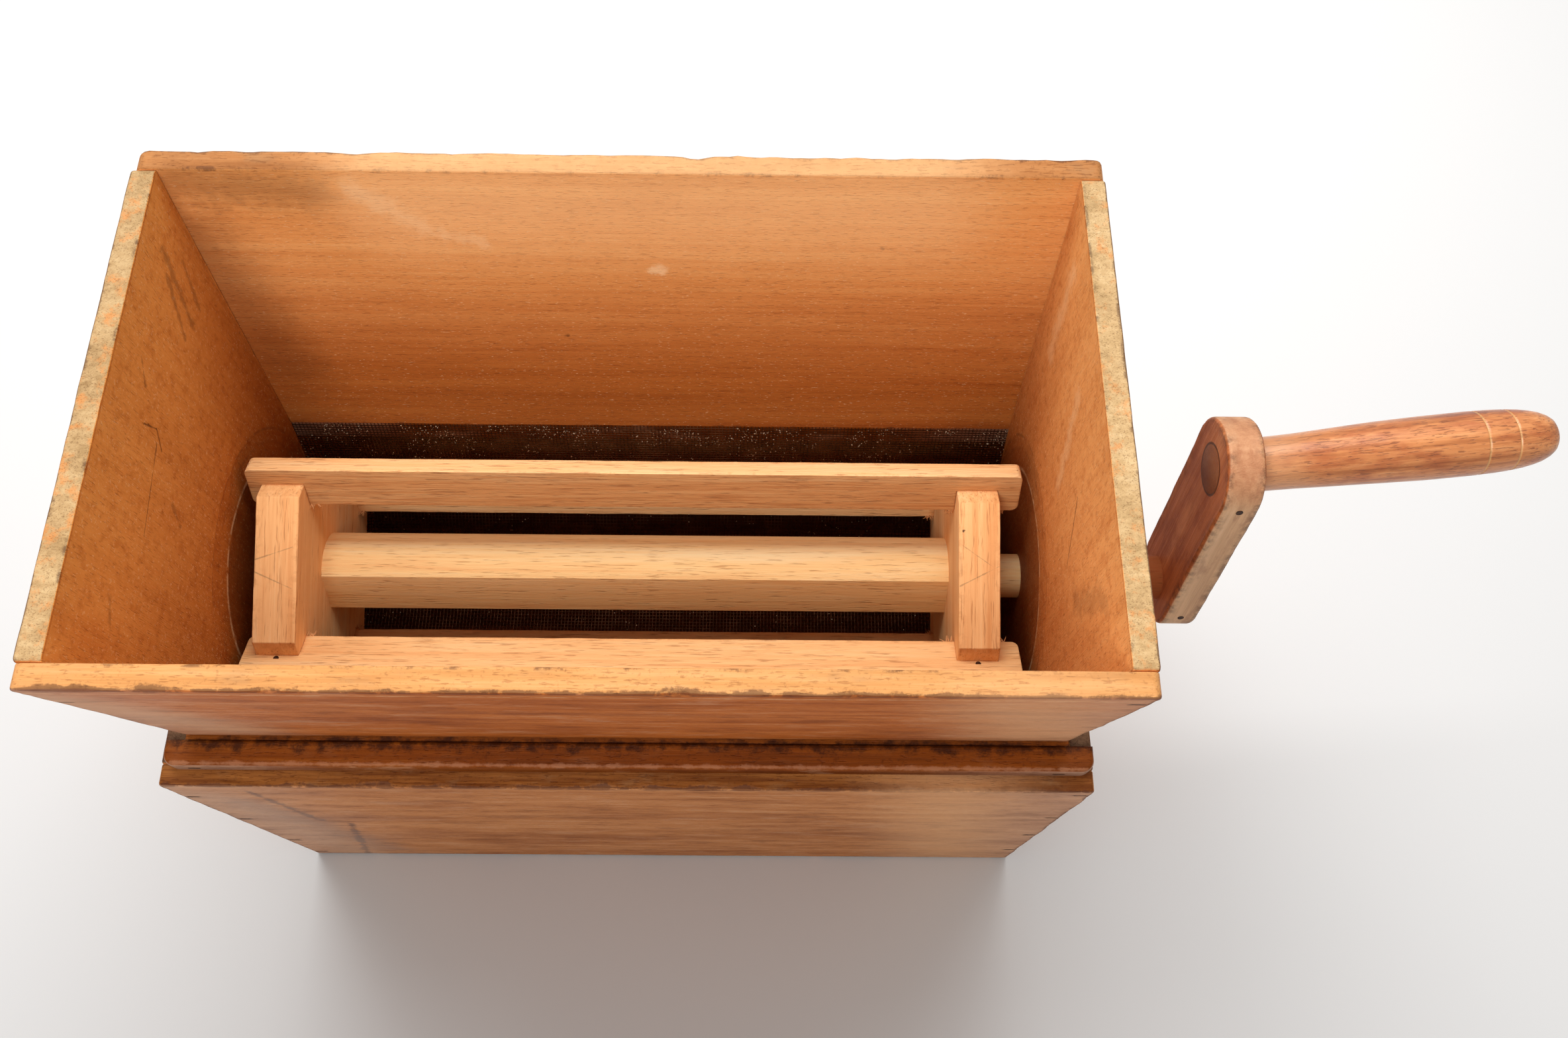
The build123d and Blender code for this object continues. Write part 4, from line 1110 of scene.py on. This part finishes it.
def handle_finish():
    f = Finish("handle_wood", roughness=0.4, coat=0.5, coat_roughness=0.24)
    place = f.place()
    axis = HANDLE_AXIS
    side = axis.orthogonal().normalized()
    axes = (tuple(axis), tuple(side), tuple(axis.cross(side)))
    maps = grain_maps(f, place, axes, 75.0)
    colour = wood_colour(f, maps, rgb(152, 84, 38), rgb(210, 134, 78), rgb(236, 172, 116))
    scratches = f.step(f.noise(f.stretched(place, axes, (4.5, 0.55, 0.55), 79.0), 2.0), 0.57, 0.66)
    colour = f.mix(scratches * 0.55, colour, rgb(112, 56, 26))
    reach = f.vector("SUBTRACT", place, tuple(HANDLE_ORIGIN / MM))
    along = f.vector("DOT_PRODUCT", reach, tuple(axis)) - HANDLE_FACE / MM
    blot = f.noise(f.stretched(place, axes, (18, 8, 8), 77.0), 4.0, 0.6)
    colour = f.darken(f.step(blot, 0.45, 0.66) * 0.5, colour, rgb(196, 132, 96))
    bare = f.step(along + (blot - 0.5) * 12, 24, 6)
    colour = f.mix(bare * 0.4, colour, rgb(212, 160, 116))
    grip_end = f.step(along + (blot - 0.5) * 10, 98, 112)
    colour = f.mix(grip_end * 0.4, colour, rgb(196, 142, 90))
    for ring in RINGS:
        line = f.step(f.math("ABSOLUTE", along - ring), 0.5, 0.2)
        colour = f.mix(line * 0.6, colour, rgb(216, 170, 110))
    peg = f.step(along, -10.0, -11.0)
    colour = f.mix(peg * 0.8, colour, rgb(118, 62, 32))
    f.feed("Coat Weight", 0.5 - peg * 0.5)
    f.colour(colour)
    f.feed("Roughness", 0.36 + blot * 0.18 + peg * 0.3)
    f.bump(maps[2] * 0.4 + maps[1] * 0.9 - scratches, 0.3 * MM, 0.5)
    return f


def ring_dip(distance):
    """Depth of the scribed rings at a distance along the handle."""
    return sum(0.38 * max(0.0, 1 - abs(distance - ring) / 0.5) for ring in RINGS)


def handle_radius(distance):
    for (s0, r0), (s1, r1) in zip(HANDLE_PROFILE, HANDLE_PROFILE[1:]):
        if distance <= s1:
            share = (distance - s0) / (s1 - s0)
            return r0 + (r1 - r0) * share - ring_dip(distance)
    return HANDLE_PROFILE[-1][1]


def make_crank():
    half = ARM_W / 2
    corners = [(-half, -half), (ARM_LEN + half, -half), (ARM_LEN + half, half), (-half, half)]

    def arm_place(u, v, w):
        return CENTRE + ARM_ALONG * u + ARM_ACROSS * v + Vector((ARM_LOW.x + w, 0, 0))

    slab("crank_arm_board", "rotor", corners, arm_place, ARM_HIGH.x - ARM_LOW.x, arm_finish(),
         radii=[half - 0.02 * MM] * 4, arc_steps=[14] * 4, soft=(1.3 * MM, 1.5 * MM), seed=71.0, wear=0.4,
         fade=(0.8 * MM, 4 * MM), wobble=0.3 * MM, pitch=3 * MM, stands_for=["crank_arm"])
    side = Vector((0.0, 0.0, 1.0)).cross(HANDLE_AXIS).normalized()
    other = HANDLE_AXIS.cross(side)
    stops = {k * 1.5 for k in range(65)} | {s for s, _ in HANDLE_PROFILE}
    stops |= {98.5, 99.5, 101.5, 102.3, 103.6, 104.1, 105.1}
    stops |= {ring + step for ring in RINGS for step in (-0.7, -0.4, -0.2, 0.0, 0.2, 0.4, 0.7)}
    profile = [(-3.0, 8.8), (-2.5, 9.2)] + [(s, handle_radius(s)) for s in sorted(stops)]
    parts = 64
    verts, faces = [], []
    for radius, proud in ((8.3, 0.15), (8.8, -0.35)):
        for k in range(parts):
            turn = math.tau * k / parts
            point = HANDLE_ORIGIN + (side * math.cos(turn) + other * math.sin(turn)) * radius * MM
            reach = (point.x - (ARM_LOW.x - proud * MM)) / HANDLE_AXIS.x
            verts.append(point - HANDLE_AXIS * reach)
    for s, radius in profile:
        middle = HANDLE_ORIGIN + HANDLE_AXIS * (HANDLE_FACE + s * MM)
        for k in range(parts):
            turn = math.tau * k / parts
            uneven = 1 + 0.012 * noise.noise(Vector((math.cos(turn), math.sin(turn), s * 0.04)))
            point = middle + (side * math.cos(turn) + other * math.sin(turn)) * radius * uneven * MM
            verts.append(point)
    for i in range(len(profile) + 1):
        for k in range(parts):
            a, b = i * parts + k, i * parts + (k + 1) % parts
            faces.append((a, b, b + parts, a + parts))
    faces.append(tuple(reversed(range(parts))))
    faces.append(tuple(range(len(verts) - parts, len(verts))))
    add_mesh("turned_handle", "rotor", verts, faces, handle_finish(), ["crank_handle"])


make_camera()
lit_by_fill, floor = make_studio()
make_case()
make_rails()
make_hopper()
make_cloth()
make_flour()
make_paddles()
make_plates()
make_tufts()
make_shaft()
make_crank()

iron = iron_finish()
for node_name in ("receiver_nails", "hopper_nails", "rail_nails", "screen_tacks", "paddle_nails",
                  "crank_pins"):
    dress(frame["nodes"][node_name], iron)

for thing in bpy.context.scene.collection.all_objects:
    if thing.type == "MESH" and thing is not floor:
        lit_by_fill.objects.link(thing)
